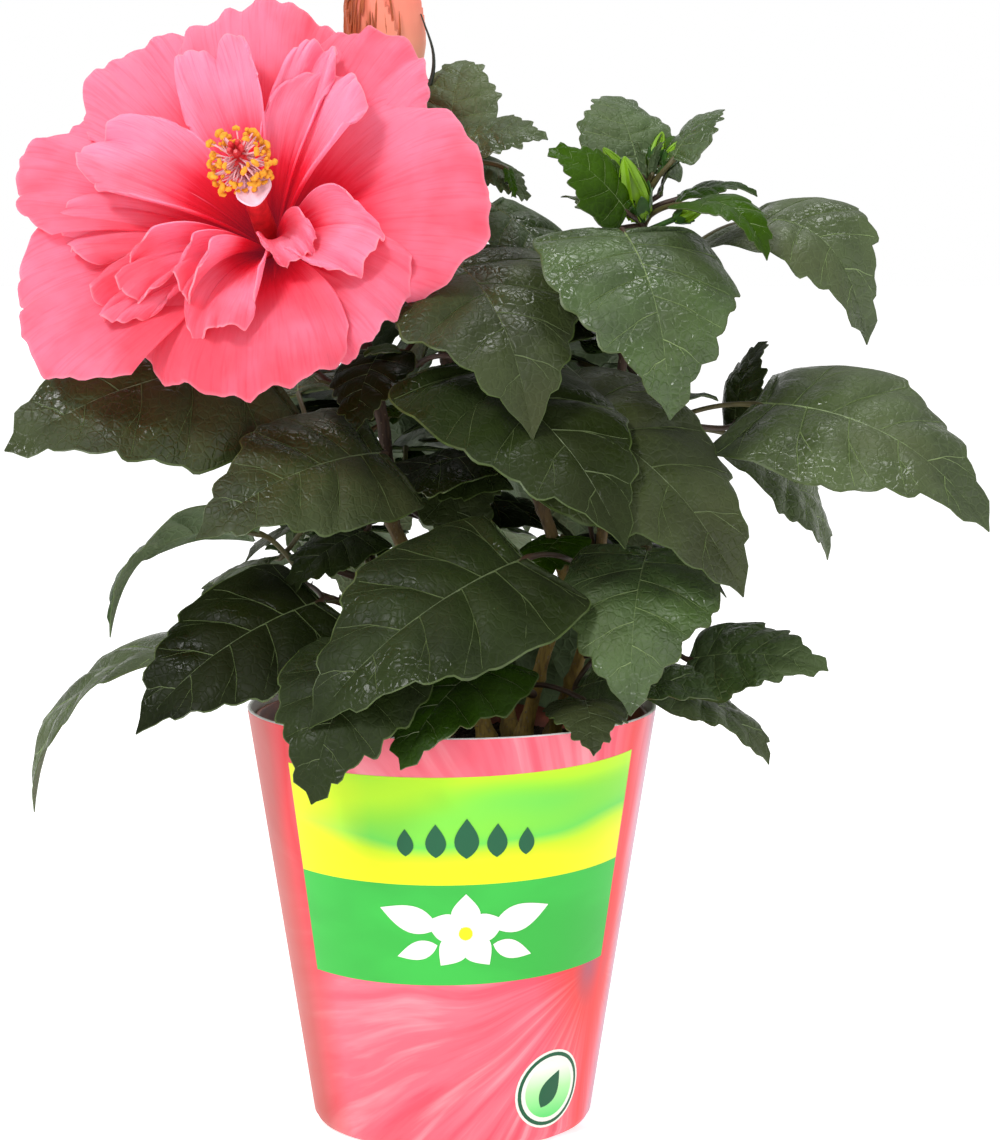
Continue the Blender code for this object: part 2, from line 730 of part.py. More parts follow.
def pot_shapes():
    """The sleeve, the nursery pot in it and the soil, as turned shapes."""
    floor = FLOOR_THICKNESS
    sleeve = turned([
        (0, 0), (SLEEVE_FOOT_RADIUS - FOOT_ROUNDING, 0), (sleeve_radius(FOOT_ROUNDING), FOOT_ROUNDING),
        (SLEEVE_TOP_RADIUS, SLEEVE_HEIGHT), (SLEEVE_TOP_RADIUS - SLEEVE_WALL, SLEEVE_HEIGHT),
        (sleeve_radius(floor) - SLEEVE_WALL - FLOOR_INSET, floor), (0, floor)], POT_SIDES)
    under = floor + GAP
    rim = SLEEVE_HEIGHT - NURSERY_DROP
    outer = SLEEVE_WALL + NURSERY_CLEARANCE
    inner = outer + NURSERY_WALL
    nursery = turned([
        (0, under), (sleeve_radius(under) - outer - FLOOR_INSET, under),
        (sleeve_radius(rim) - outer, rim), (sleeve_radius(rim) - inner, rim),
        (sleeve_radius(under + floor) - inner - FLOOR_INSET, under + floor),
        (0, under + floor)], POT_SIDES)
    bed = under + floor + GAP
    soil = turned([
        (0, bed), (sleeve_radius(bed) - inner - FLOOR_INSET - SOIL_CLEARANCE, bed),
        (sleeve_radius(SOIL_TOP) - inner - SOIL_CLEARANCE, SOIL_TOP), (0, SOIL_TOP)], POT_SIDES)
    return sleeve, nursery, soil


def make_pot(taken):
    kinds = ("sleeve", "nursery", "soil")
    for name, kind, shape in zip(("sleeve", "nursery_pot", "soil"), kinds, pot_shapes()):
        add_object(name, shape, kind)
        taken.append((name, tree_of(shape)))


def make_stems(taken):
    """The four stems, as their paths and radii."""
    stems = {}
    for name, (corners, foot_radius, tip_radius) in STEMS.items():
        path = evenly(smooth_path(corners, CURVE_STEPS), STEM_STEP)
        radii = np.linspace(foot_radius, tip_radius, len(path))
        above = (path[:, 2] - path[0, 2]) / FLARE_HEIGHT
        radii *= 1 + FLARE_GROWTH * np.clip(1 - above, 0, 1) ** 2
        shape = tube(path, radii, STEM_SIDES, level_foot=True)
        add_object(name, shape, "bark")
        taken.append((name, tree_of(shape)))
        stems[name] = (path, radii)
    return stems


def make_blooms(stems, taken):
    throat, axis, _, _ = bloom_frame()
    shapes = bloom_shapes()
    add_fused("large_bloom", shapes, "petal")
    taken += [("large_bloom", tree_of(shape)) for shape in shapes]
    base, tip = np.array(FURLED_BASE, float), np.array(FURLED_TIP, float)
    shares = np.linspace(0, 1, len(FURLED_RADII))
    furled = tube([base + (tip - base) * share for share in shares], FURLED_RADII, FURLED_SIDES)
    add_object("furled_bloom", furled, "furled")
    taken.append(("furled_bloom", tree_of(furled)))
    core_back = throat - axis * (THROAT_DEPTH + CORE_LENGTH / 2 + GAP)
    cups = {"bloom_cup": ("left_stem", core_back, axis),
            "furled_cup": ("mid_stem", base - unit(tip - base) * GAP, unit(tip - base))}
    for name, (stem, face, way) in cups.items():
        path, _ = stems[stem]
        tip_way = unit(path[-1] - path[-2])
        cup = cup_shape(path[-1] + tip_way * 2 * GAP, tip_way, face, way)
        add_object(name, cup, "green")
        taken.append((name, tree_of(cup)))


def make_masses(stems, taken):
    """Twigs first, so that every leaf keeps off all of them, and then the leaves."""
    rng = random.Random(SEED)
    paths, leaves = {}, {}
    for name, twig in TWIGS.items():
        paths[name] = [twig_path(stems[twig.stem], twig.height, twig.tip)]
        leaves[name] = LEAVES[name]
    for name, spray in SPRAYS.items():
        paths[name] = spray_paths(spray, stems[spray.stem], rng)
        leaves[name] = spray_leaves(spray, rng)
    for name in paths:
        taken += [(name, tree_of(twig_shape(path))) for path in paths[name]]
    for name in paths:
        shapes = [twig_shape(path) for path in paths[name]]
        twigs = len(paths[name])
        for number, path in enumerate(paths[name]):
            most = len(leaves[name]) if name in TWIGS else math.ceil(SPRAYS[name].leaves / twigs)
            shapes += grow_leaves(name, leaves[name][number::twigs], most, path, taken)
        if name == "crown_leaves":
            shapes += [bud_shapes(bud, point_at(paths[name][0], bud.share)) for bud in BUDS]
        add_fused(name, shapes, "leaf")


def main():
    clear_scene()
    taken = []
    make_pot(taken)
    stems = make_stems(taken)
    make_blooms(stems, taken)
    make_masses(stems, taken)


main()
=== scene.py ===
"""Looks of the potted hibiscus shrub: printed pot, soil, bark, veined leaves, blooms and buds.

Sizes are in millimetres and become metres where a mesh is made. +Z is up and -Y is the front.
A compass heading is counted in degrees from +X towards +Y, so 270 faces the front; a rise or
pitch is degrees above level.
"""

import functools
import math
import random
from collections import namedtuple

import bmesh
import bpy
import numpy as np
from bpy.props import FloatProperty, FloatVectorProperty, PointerProperty
from mathutils.bvhtree import BVHTree
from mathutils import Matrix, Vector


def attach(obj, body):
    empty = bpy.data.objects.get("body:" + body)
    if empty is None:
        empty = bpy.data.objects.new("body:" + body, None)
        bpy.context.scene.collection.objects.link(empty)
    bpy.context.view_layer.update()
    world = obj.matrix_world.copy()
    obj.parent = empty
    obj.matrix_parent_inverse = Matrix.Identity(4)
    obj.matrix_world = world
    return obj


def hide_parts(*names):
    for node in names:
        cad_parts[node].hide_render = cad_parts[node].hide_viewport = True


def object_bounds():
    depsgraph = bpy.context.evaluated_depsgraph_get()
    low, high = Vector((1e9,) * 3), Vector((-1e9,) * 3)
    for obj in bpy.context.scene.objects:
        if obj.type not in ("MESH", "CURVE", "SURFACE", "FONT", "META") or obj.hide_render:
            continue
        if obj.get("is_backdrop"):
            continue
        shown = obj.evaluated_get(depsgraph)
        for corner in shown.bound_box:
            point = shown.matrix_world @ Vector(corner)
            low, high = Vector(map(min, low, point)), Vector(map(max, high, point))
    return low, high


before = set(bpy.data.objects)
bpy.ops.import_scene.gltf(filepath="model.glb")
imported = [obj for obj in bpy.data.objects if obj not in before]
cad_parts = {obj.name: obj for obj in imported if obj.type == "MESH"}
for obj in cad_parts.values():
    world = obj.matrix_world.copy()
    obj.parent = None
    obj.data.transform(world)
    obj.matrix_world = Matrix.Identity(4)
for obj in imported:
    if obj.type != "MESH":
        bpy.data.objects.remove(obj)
CAD_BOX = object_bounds()

bl_info = {
    "name": "Potted hibiscus shrub",
    "version": (1, 0, 0),
    "blender": (4, 5, 0),
    "location": "View3D > Sidebar > Shrub",
    "description": "Dresses the shrub's solids with leaves, blooms, bark, soil and a printed pot",
    "category": "Object",
}

MM = 0.001
GAP = 0.3
SEED = 11
UP = np.array([0.0, 0.0, 1.0])

# Pot, as the solids have it.
SLEEVE_TOP_RADIUS = 65
SLEEVE_FOOT_RADIUS = 44
SLEEVE_HEIGHT = 134
SLEEVE_WALL = 1.2
SLEEVE_LIP = 0.35
FOOT_ROUNDING = 3
FOOT_STEPS = 5
NURSERY_CLEARANCE = 0.8
NURSERY_WALL = 1.6
NURSERY_DROP = 3
FLOOR_THICKNESS = 2
NURSERY_LIP = 0.3
NURSERY_STEP_DOWN = 9
NURSERY_STEP = 0.7
FLOOR_INSET = 1
SOIL_TOP = 118
SOIL_CLEARANCE = 1
POT_COLUMNS = 180
WALL_ROWS = 40
POT_CREASE = 35
SOIL_OVERLAP = 0.6
SOIL_DEPTH = 14

# The soil's top, and what lies on it: sizes of the copies, and gaps by the crumbs' own.
SOIL_COLUMNS = 96
SOIL_RINGS = 30
CRUMB_SIZES = (0.5, 1.7)
BIT_SIZES = (0.5, 1.3)
PERLITE_GAP = 6
BARK_BIT_GAP = 4
BARK_BIT_LENGTH = 4.5
BARK_BIT_RADIUS = 0.7

# The printed flower's middle, in metres right of the front and up, and how soon its folds change.
PRINT_MIDDLE = (0.067, 0.058)
RAY_STRETCH = 0.9

# Printed label on the sleeve: degrees from the front, and heights at its left and right ends.
LABEL_LEFT = -52
LABEL_RIGHT = 62
LABEL_TOP = (122, 124.5)
LABEL_DIVIDE = (88, 90)
LABEL_FOOT = (55.5, 58)
LABEL_SAG = 1.4
LABEL_LIFT = 0.12
LABEL_SPAN = 0.12
DECAL_RINGS = 5
LEAF_SIDE_POINTS = 12
LABEL_COLUMNS = 90
LABEL_ROWS = 14
BLOSSOM_HEIGHT = 72
BLOSSOM_PETAL = (11.5, 9)
BLOSSOM_EYE = 2.1
BLOSSOM_START = 1.2
SIDE_LEAF_HEIGHT = 71
SIDE_LEAF_START = 9
UPPER_SIDE_LEAF = (19, 8.5)
LOWER_SIDE_LEAF = (13, 6)
SIDE_LEAF_TURNS = (18, 162)
DROP_HEIGHT = 102
DROP_SPACING = 9
DROP_WIDTH = 7.5
BADGE_ANGLE = 41
BADGE_HEIGHT = 18
# The badge's discs from the lowest up: radius, finish and lift.
BADGE_DISCS = ((12.8, 0, 0.2), (12, 2, 0.26), (10.8, 0, 0.32), (9.4, 3, 0.36))
# Length, width and turn.
BADGE_LEAF = (13, 7, 62)

# Stems: foot to tip, with the radius at both ends.
STEM_STEP = 11
CURVE_STEPS = 6
FLARE_HEIGHT = 10
FLARE_GROWTH = 0.5
FOOT = SOIL_TOP + GAP
STEMS = {
    "left_stem": ([(12, 7, FOOT), (2, 9, 150), (-20, 10, 193), (-21, 10, 217), (-29, 12, 252)], 2.5, 1.9),
    "mid_stem": ([(22, 14, FOOT), (31, 12, 153), (36, 12, 172), (20, 14, 215), (-2, 14, 243),
                  (-9, 21, 280), (-17, 31, 299)], 2.2, 1.6),
    "right_stem": ([(31, 19, FOOT), (42, 12, 150), (46, 10, 169), (52, 12, 225), (60, 10, 281)], 2.0, 1.3),
    "back_stem": ([(19, 27, FOOT), (14, 40, 158), (10, 50, 200), (12, 56, 244)], 2.2, 1.5),
}
BARK_SIDES = 20
BARK_STEP = 1.1
BARK_RIDGES = 7
SCAR_SPACING = 19
ROOT_DEPTH = 6
LENTICEL_SPACING = 0.0026
LENTICEL_SIZES = (0.5, 1.2)

# Twigs and leaf stalks.
TWIG_RADIUS = 1.5
TWIG_TAPER = 0.75
TWIG_SIDES = 10
TWIG_STEP = 1.2
PETIOLE_RADIUS = 0.85
PETIOLE_SIDES = 8
SUNK_SHARE = 0.06

# Leaf blades, on lines that sweep forward from the midrib as the side veins do.
FIT_STATION = 0.53
FIT_TOOTH = 0.07
FIT_WITHIN = 0.05
WIDEST_AT = 0.3
BASE_ROUNDING = 0.5
LOBE = 0.2
LOBE_SPAN = 0.4
VEIN_SWEEP = 1.6
CURL = 0.25
SWING_STEP = 4
SWING_RINGS = 6
SWING_DIRECTIONS = 8
TEETH_FROM = 0.16
TOOTH_CREST = 0.62
TEETH_PER_VEIN = 1.5
BLUNTNESS = 0.05
SWAY = 0.04
BLADE_ROWS = 46
BLADE_SIDES = (0, 0.04, 0.1, 0.19, 0.3, 0.42, 0.54, 0.66, 0.78, 0.88, 0.955, 0.985, 1)
VEIN_STATIONS = (0.02, 0.14, 0.30, 0.47, 0.64, 0.80, 0.93)
VEIN_CURVE = 0.4
VEIN_LAG = 0.42
VEIN_SIDES = 4
SIDE_VEIN_FLATNESS = 1.6
FORK_FROM = 0.42
FORK_DRIFT = 0.65

# A small leaf's blade has fewer points, along it and across it.
SMALL_ROWS = (0.004, 0.05, 0.13, 0.22, 0.32, 0.42, 0.52, 0.62, 0.72, 0.82, 0.91, 0.996)
SMALL_SIDES = (0, 0.45, 0.95, 1)

Leaf = namedtuple(
    "Leaf",
    "share heading rise reach turn pitch length roll arch fold width shade",
    defaults=(0, 0.1, 4, 0.7, None),
)
Twig = namedtuple("Twig", "stem height tip")
Spray = namedtuple("Spray", "stem height heading rise length leaves blade")
Petal = namedtuple("Petal", "angle spread length rim reflex twist waves ruffle cup", defaults=(0.09,))
Place = namedtuple("Place", "base along up across")
Grown = namedtuple("Grown", "mass leaf place start number")

# Foliage shown one by one: each mass has a twig from a stem at a height, and its leaves.
TWIGS = {
    "left_high_leaves": Twig("left_stem", 222, (-45, 14, 240)),
    "left_mid_leaves": Twig("left_stem", 200, (-42, -4, 212)),
    "left_low_leaves": Twig("left_stem", 152, (-50, 0, 172)),
    "cross_leaves": Twig("left_stem", 240, (-10, 2, 242)),
    "low_front_leaves": Twig("mid_stem", 134, (20, -14, 142)),
    "centre_leaves": Twig("mid_stem", 214, (22, -2, 222)),
    "upper_centre_leaves": Twig("mid_stem", 246, (2, -2, 256)),
    "top_left_leaves": Twig("mid_stem", 292, (-4, 16, 304)),
    "front_leaves": Twig("right_stem", 169, (46, -2, 174)),
    "right_low_leaves": Twig("right_stem", 146, (62, 6, 155)),
    "right_mid_leaves": Twig("right_stem", 214, (68, 8, 222)),
    "right_high_leaves": Twig("right_stem", 258, (66, 0, 267)),
    "crown_leaves": Twig("right_stem", 281, (62, 10, 298)),
}
LEAVES = {
    "left_high_leaves": [
        Leaf(1.0, 225, 10, 20, 205, -15, 88, -50, 0.1, 4, 0.76),
    ],
    "left_mid_leaves": [
        Leaf(0.1, 286, 33, 23, 214, -15, 71, -45, 0.12),
        Leaf(0.5, 167, -50, 35, 147, -28, 35),
        Leaf(0.2, 276, -44, 19, 215, -29, 34, -20),
    ],
    "left_low_leaves": [
        Leaf(0.9, 220, 45, 28, 208, -27, 58, 25, 0.22, 20, 0.75),
        Leaf(1.0, 291, -3, 28, 213, -24, 73, -35, 0.12),
        Leaf(0.7, 150, -20, 49, 191, -38, 81, 0, 0.2, 14, 0.6),
        Leaf(0.15, 258, 2, 60, 235, -49, 53, -20, 0.15, 4, 0.85),
    ],
    "cross_leaves": [
        Leaf(0.3, 255, 30, 11, 246, -49, 30, 0, 0.1, 4, 0.85),
        Leaf(1.0, 305, 5, 27, 315, -34, 86, 15, 0.07, 6, 0.76),
    ],
    "low_front_leaves": [
        Leaf(1.0, 250, 26, 25, 238, -27, 54, -10),
        Leaf(0.6, 300, 3, 38, 273, -14, 37),
    ],
    "centre_leaves": [
        Leaf(0.2, 208, -14, 15, 196, -22, 40, -15, 0.1, 4, 0.8),
        Leaf(0.1, 229, -45, 11, 189, -16, 33, -25),
        Leaf(1.0, 288, 31, 21, 333, -37, 90, 30, 0.12, 4, 0.74),
    ],
    "upper_centre_leaves": [
        Leaf(0.9, 232, 75, 22, 300, -39, 79, 10, 0.14, 8, 0.84),
        Leaf(0.4, 54, 62, 46, 337, -44, 43, 20),
        Leaf(0.1, 340, 80, 23, 186, -47, 28, -30),
    ],
    "top_left_leaves": [
        Leaf(0.4, 351, 60, 16, 74, 50, 36, 0, 0.1, 4, 0.85),
        Leaf(0.9, 313, 37, 15, 343, 3, 28, 40),
        Leaf(0.1, 335, 27, 24, 344, -32, 21, 30),
    ],
    "front_leaves": [
        Leaf(0.2, 244, 16, 54, 212, -31, 87, -35, 0.12, 6, 0.7),
        Leaf(1.0, 308, 26, 28, 259, -46, 61, 0, 0.16, 6, 0.84),
    ],
    "right_low_leaves": [
        Leaf(1.0, 321, -20, 18, 334, 0, 46, 40),
        Leaf(0.7, 324, -50, 15, 325, -27, 47),
        Leaf(0.3, 244, -21, 26, 326, 4, 50, 25),
    ],
    "right_mid_leaves": [
        Leaf(1.0, 340, 15, 30, 338, -22, 85, 30, 0.14, 6, 0.74),
        Leaf(0.8, 24, 2, 28, 32, 68, 29),
        Leaf(0.5, 20, -4, 36, 352, -53, 47, 20),
    ],
    "right_high_leaves": [
        Leaf(0.8, 230, 47, 26, 285, -50, 70, 0, 0.16, 4, 0.88),
        Leaf(0.1, 24, 35, 43, 327, -36, 59, 25, 0.32, 14, 0.8),
    ],
    "crown_leaves": [
        Leaf(0.6, 105, 60, 12, 111, 41, 40, 0, 0.08, 4, 0.85),
        Leaf(0.8, 322, 49, 15, 32, 42, 25, 0, 0.08, 4, 0.85),
        Leaf(0.2, 244, 22, 13, 192, 41, 32, -60),
        Leaf(0.3, 307, 15, 23, 322, -28, 33, 10, 0.22, 14),
        Leaf(0.2, 167, 0, 9, 154, 30, 21),
    ],
}

# Small leaves among the others, too fine for the solids; among their greens are painted light from behind, a
# painted sheen of the sky and painted shade.
EXTRA_LEAVES = [
    ("crown_leaves", Leaf(0.45, 345, 25, 12, 352, 5, 25, 10, 0.12, 10, 0.8, "painted_backlit")),
    ("crown_leaves", Leaf(1.0, 60, 70, 3, 40, 75, 14, 0, 0.05, 20, 0.35, "young")),
    ("crown_leaves", Leaf(1.0, 200, 60, 3, 215, 72, 12, 0, 0.05, 20, 0.35, "young")),
    ("crown_leaves", Leaf(1.0, 300, 60, 4, 320, 70, 11, 0, 0.05, 20, 0.4, "young")),
    ("crown_leaves", Leaf(0.6, 10, 40, 6, 10, 55, 15, 0, 0.1, 20, 0.4, "mid")),
    ("front_leaves", Leaf(0.5, 140, 45, 20, 240, -35, 26, 0, 0.1, 6, 0.9, "young")),
    ("front_leaves", Leaf(0.3, 100, 60, 22, 120, 50, 9, 0, 0.05, 10, 0.5, "young")),
    ("top_left_leaves", Leaf(0.9, 340, 0, 24, 320, -70, 9, 0, 0.05, 10, 0.5, "young")),
    ("cross_leaves", Leaf(0.5, 20, 50, 18, 200, -62, 26, 180, 0.05, 4, 0.7, "grey")),
    ("back_low_leaves", Leaf(0.2, 200, 0, 16, 5, -12, 70, -80, 0.08, 4, 0.6, "deep")),
]

# Foliage by rule: a spray forks from its stem, and its leaves turn round it as they climb.
SPRAYS = {
    "back_low_leaves": Spray("back_stem", 150, 100, 10, 20, 6, 72),
    "back_left_leaves": Spray("back_stem", 182, 165, 15, 30, 9, 72),
    "back_right_leaves": Spray("back_stem", 206, 20, 15, 30, 9, 72),
    "back_high_leaves": Spray("back_stem", 243, 90, 50, 16, 7, 66),
    "behind_bloom_leaves": Spray("left_stem", 206, 135, 15, 30, 6, 70),
    "behind_crown_leaves": Spray("right_stem", 226, 65, 15, 26, 6, 64),
    "left_back_leaves": Spray("left_stem", 168, 150, 5, 26, 6, 68),
}
FORK_TURN = (40, 65)
FORK_SHARE = (0.45, 0.7)
FORK_LIFT = (0, 25)
FORK_LENGTH = 0.6
GOLDEN_TURN = 137.5
FAN = 250
TRIES = 7
STALK_RISE = (0, 50)
STALK_REACH = (12, 34)
LEAF_TURN = (-20, 20)
LEAF_PITCH = (-50, -10)
LEAF_SIZE = (0.7, 1.0)
LEAF_ARCH = (0.08, 0.18)

# Leaf pieces: the masses that each one joins, and the greens dealt to each mass's leaves.
FOLIAGE = {
    "left_foliage": ("left_high_leaves", "left_mid_leaves", "left_low_leaves", "left_back_leaves"),
    "centre_foliage": ("cross_leaves", "centre_leaves", "upper_centre_leaves", "top_left_leaves",
                       "low_front_leaves", "front_leaves", "behind_bloom_leaves"),
    "right_foliage": ("right_low_leaves", "right_mid_leaves", "right_high_leaves", "crown_leaves",
                      "behind_crown_leaves"),
    "back_foliage": ("back_low_leaves", "back_left_leaves", "back_right_leaves", "back_high_leaves"),
}
# Most greens are lit and shaded copies of one leaf green. The greens of leaves in the shade and half in the
# shade are painted shade, the greens of leaves in full light and with light behind them are painted light,
# and the grey one is a painted sheen of the sky. The middle green and the young one are the leaves' own.
SHADES = {
    "left_high_leaves": ("mid",),
    "left_mid_leaves": ("mid", "grey", "dusk"),
    "left_low_leaves": ("painted_backlit", "deep", "grey", "dusk"),
    "cross_leaves": ("deep", "dusk"),
    "low_front_leaves": ("painted_backlit", "mid"),
    "centre_leaves": ("deep", "dusk", "mid"),
    "upper_centre_leaves": ("mid", "painted_lit", "mid"),
    "top_left_leaves": ("grey", "grey", "grey"),
    "front_leaves": ("dusk", "painted_lit"),
    "right_low_leaves": ("painted_lit", "grey", "painted_lit"),
    "right_mid_leaves": ("grey", "dusk", "grey"),
    "right_high_leaves": ("painted_lit", "grey"),
    "crown_leaves": ("painted_lit", "painted_lit", "young", "young", "grey"),
}
USUAL_SHADES = ("deep", "mid", "painted_lit")
# The gloss of each green, and the greens whose veins are pale. On leaves painted as lit and sky-sheened the
# pale veins are painted light; young leaves' veins are pale of their own.
GREENS = {"deep": 0.1, "dusk": 0.14, "mid": 0.25, "painted_lit": 0.45, "grey": 0.35, "painted_backlit": 0.1, "young": 0.1}
PALE_VEINED = ("painted_lit", "grey", "young")

# Fine twigs: short shoots off each twig, with small leaves and stipules.
SHOOTS_PER_TWIG = 2
SHOOT_LENGTH = (8, 15)
SHOOT_TURN = (35, 80)
SHOOT_RISE = (10, 60)
SHOOT_RADII = (0.8, 0.5)
SMALL_LEAF = (9, 19)
SMALL_LEAVES = 3
SMALL_LEAF_FAN = 70
SMALL_STALK = (0.45, 0.35, 0.35)
SHOOT_KEEP = 7
STIPULE_RADII = (0.45, 0.35, 0.08)
STIPULE_LENGTH = 5

# The large double bloom: its throat, the way it faces, and its petals round that axis.
BLOOM_THROAT = (-56, -10, 281)
BLOOM_HEADING = 260
BLOOM_RISE = 34
THROAT_DEPTH = 8
CORE_LENGTH = 10
CORE_RADIUS = 6.5
COLUMN_LENGTH = 48
COLUMN_RADIUS = 3.2
ANTHER_LENGTH = 9
ANTHER_SIZES = (0.7, 1.2)
# The tubes that are copied over the column's head, on +Z: their points, and the radii there.
FILAMENT = ([(0, 0, 0), (0.3, 0, 3.0), (0, 0.2, 6.0)], [0.34, 0.24, 0.22])
POLLEN_TIP = ([(-0.95, 0, 5.6), (-0.75, 0, 6.2), (0, 0, 6.5), (0.75, 0, 6.2), (0.95, 0, 5.6)],
              [0.35, 0.7, 0.8, 0.7, 0.35])
# A stigma pad: its points, as far out and as far along from its root, and the radii there.
STIGMA_PADS = 5
STIGMA_PATH = ((0, 0), (1.0, 2.5), (1.8, 4.5), (2.0, 5.8))
STIGMA_RADII = (0.6, 0.5, 1.1, 0.6)
PETAL_START = 0.05
PETAL_SHOULDER = 0.08
OUTER_PETALS = [
    Petal(97, 26, 80, 15, 6, 0, 2.2, 3.0),
    Petal(63, 24, 75, 13, 6, 0, 2.2, 2.6),
    Petal(12, 42, 70, 13, 6, 0, 2.0, 2.2),
    Petal(-42, 30, 57, 12, 6, 0, 2.4, 2.8),
    Petal(-90, 42, 63, 14, 8, 0, 2.6, 3.2),
    Petal(-149, 32, 81, 14, 6, 0, 2.4, 2.8),
    Petal(166, 24, 80, 16, 6, 0, 2.2, 2.8),
    Petal(131, 26, 80, 15, 6, 0, 2.0, 2.4),
]
INNER_PETALS = [
    Petal(163, 30, 58, 27, 4, 8, 1.9, 3.6),
    Petal(-172, 24, 62, 18, 4, 0, 2.2, 3.2),
    Petal(112, 24, 60, 27, 4, -8, 1.7, 3.4),
    Petal(60, 32, 50, 28, 3, -10, 1.8, 3.4),
    Petal(74, 16, 58, 26, 3, 0, 2.0, 3.0),
    Petal(-24, 36, 42, 22, 3, 0, 2.2, 3.4),
    Petal(-48, 32, 27, 24, 3, 0, 1.8, 2.6),
    Petal(-100, 28, 47, 22, 3, 8, 1.8, 3.4),
    Petal(-139, 19, 59, 19, 3, 0, 2.2, 3.6),
    Petal(-136, 14, 50, 27, 2, -8, 1.7, 3.0),
    Petal(-116, 12, 39, 27, 1, 0, 1.4, 2.2, 0.3),
]
PETAL_ROWS = 44
PETAL_COLUMNS = 60
PETAL_LAP = 3.0
LOBES = 1.1
LOBE_DEPTH = 0.03
OUTER_ROUNDNESS = 0.14
INNER_ROUNDNESS = 0.34
# Rings of petals: name, petals, roundness, strength of the pale rim and paleness of the rest.
PETAL_RINGS = (("outer", OUTER_PETALS, OUTER_ROUNDNESS, 0.35, 1.0),
               ("inner", INNER_PETALS, INNER_ROUNDNESS, 0.7, 1.3))

# The furled bloom at the top of the middle stem.
FURLED_BASE = (-21, 37, 322)
FURLED_TIP = (-23, 38, 375)
FURLED_RADII = (5.5, 9.5, 12, 13, 13, 12.5, 11, 8, 4)
# Its petals go on past the tip, at these shares of its length, and close to these radii.
FURLED_END = 1.17
FURLED_CLOSE = ((1.04, 1.08, 1.12, 1.15, FURLED_END), (3.5, 3.0, 2.3, 1.5, 0.4))
FURLED_PLEATS = 5
FURLED_TWIST = 1.2
FURLED_SIDES = 90
STRANDS = 46
STRAND_SIDE = 215
STRAND_SPREAD = 38
STRAND_RADII = (0.1, 0.3, 0.36, 0.36, 0.34, 0.3, 0.2, 0.06)
FURLED_BRACT = [(-17, 36, 316), (-8, 34, 328), (-6, 33, 339), (-10, 33, 352)]

# Green cups behind the blooms, and the buds at the right stem's top.
STALK_RADIUS = 1.5
CUP_LENGTH = 15
CUP_RADIUS = 6.5
CUP_LOBES = 5
CUP_BRACTS = 7
SEPAL_THICKNESS = 0.35
# A sepal stops just short of its point, so that its tip keeps a width.
SEPAL_END = 0.99
Bud = namedtuple("Bud", "share heading rise stalk length radius")
BUDS = [
    Bud(0.2, 240, 60, 4, 18, 4.6),
    Bud(0.1, 325, 20, 14, 9, 2.4),
    Bud(1.0, 40, 70, 8, 8, 2.2),
    Bud(0.8, 350, 58, 12, 7, 2.0),
    Bud(0.7, 190, 50, 12, 8, 2.0),
]

# Tones beside the colours that a user would change.
MARGIN_GREEN = (0.05, 0.078, 0.014)
GREEN_STALK = (0.085, 0.072, 0.024)
CUP_GREEN = (0.05, 0.11, 0.02)
BRACT_DARK = (0.012, 0.02, 0.012)
BUD_LIME = (0.17, 0.34, 0.004)
BUD_DARK = (0.03, 0.09, 0.012)
BARK_GROOVE = (0.42, 0.36, 0.30)
BARK_FLECK = (0.2, 0.16, 0.10)
LENTICEL_TAN = (0.16, 0.12, 0.075)
PERLITE_WHITE = (0.55, 0.52, 0.46)
BARK_BIT_BROWN = (0.07, 0.038, 0.018)
# A painted glow: the petals give off faint red light of their own, standing in for light shining through
# them.
PAINTED_PETAL_GLOW = (1.0, 0.05, 0.12, 1.0)
PETAL_RED = (0.80, 0.02, 0.05)
PETAL_VEIN = (0.92, 0.45, 0.52)
COLUMN_RED = (0.66, 0.025, 0.035)
FILAMENT_PINK = (0.85, 0.42, 0.46)
FLAP_PINK = (0.88, 0.50, 0.60)
FURLED_RED = (0.88, 0.20, 0.15)
FURLED_BROWN = (0.36, 0.07, 0.015)
STRAND_BROWN = (0.38, 0.085, 0.022)
PRINT_LIGHT = (0.88, 0.25, 0.31)
PRINT_CREASE = (0.92, 0.45, 0.55)
PRINT_FIBRE = (0.92, 0.42, 0.46)
PRINT_RED = (0.84, 0.05, 0.03)
PRINT_HEART = (0.22, 0.13, 0.20)
# Painted shade: the print darkens to coral towards the sleeve's left edge.
PAINTED_CORAL_SHADE = (0.47, 0.07, 0.05)
LEFT_FOLD = (0.76, 0.03, 0.04)
RIGHT_FOLD = (0.82, 0.05, 0.05)
# A painted highlight: a lilac gleam down the sleeve's right edge.
PAINTED_LILAC_HIGHLIGHT = (0.52, 0.38, 0.50)
EDGE_WHITES = ((0.80, 0.76, 0.78), (0.92, 0.90, 0.90))
LABEL_YELLOW = (0.80, 0.84, 0.01)
# The label's upper band from its foot up: a place and a colour each, round the lime.
LIME_BELOW = ((0.14, LABEL_YELLOW), (0.34, (0.56, 0.80, 0.015)), (0.5, (0.15, 0.65, 0.08)),
              (0.66, (0.26, 0.70, 0.04)))
LIME_PLACE = 0.84
LIME_TOP = (0.50, 0.80, 0.015)
LABEL_WHITES = ((0.87, 0.88, 0.80), (0.84, 0.85, 0.78))
LABEL_DARKS = ((0.015, 0.10, 0.045), (0.02, 0.13, 0.06))
BADGE_GREENS = [(0.0, (0.10, 0.70, 0.15)), (0.5, (0.42, 0.85, 0.36)), (0.9, (0.86, 0.92, 0.80))]

# Camera and studio, in metres, degrees and watts.
FLOOR_REACH = 6.0
FLOOR_WHITE = (0.8, 0.8, 0.8)
FLOOR_GLOW = 0.66
OVERHEAD_SKY = 0.5
LAMP_AIM = (0.0, 0.0, 0.2)
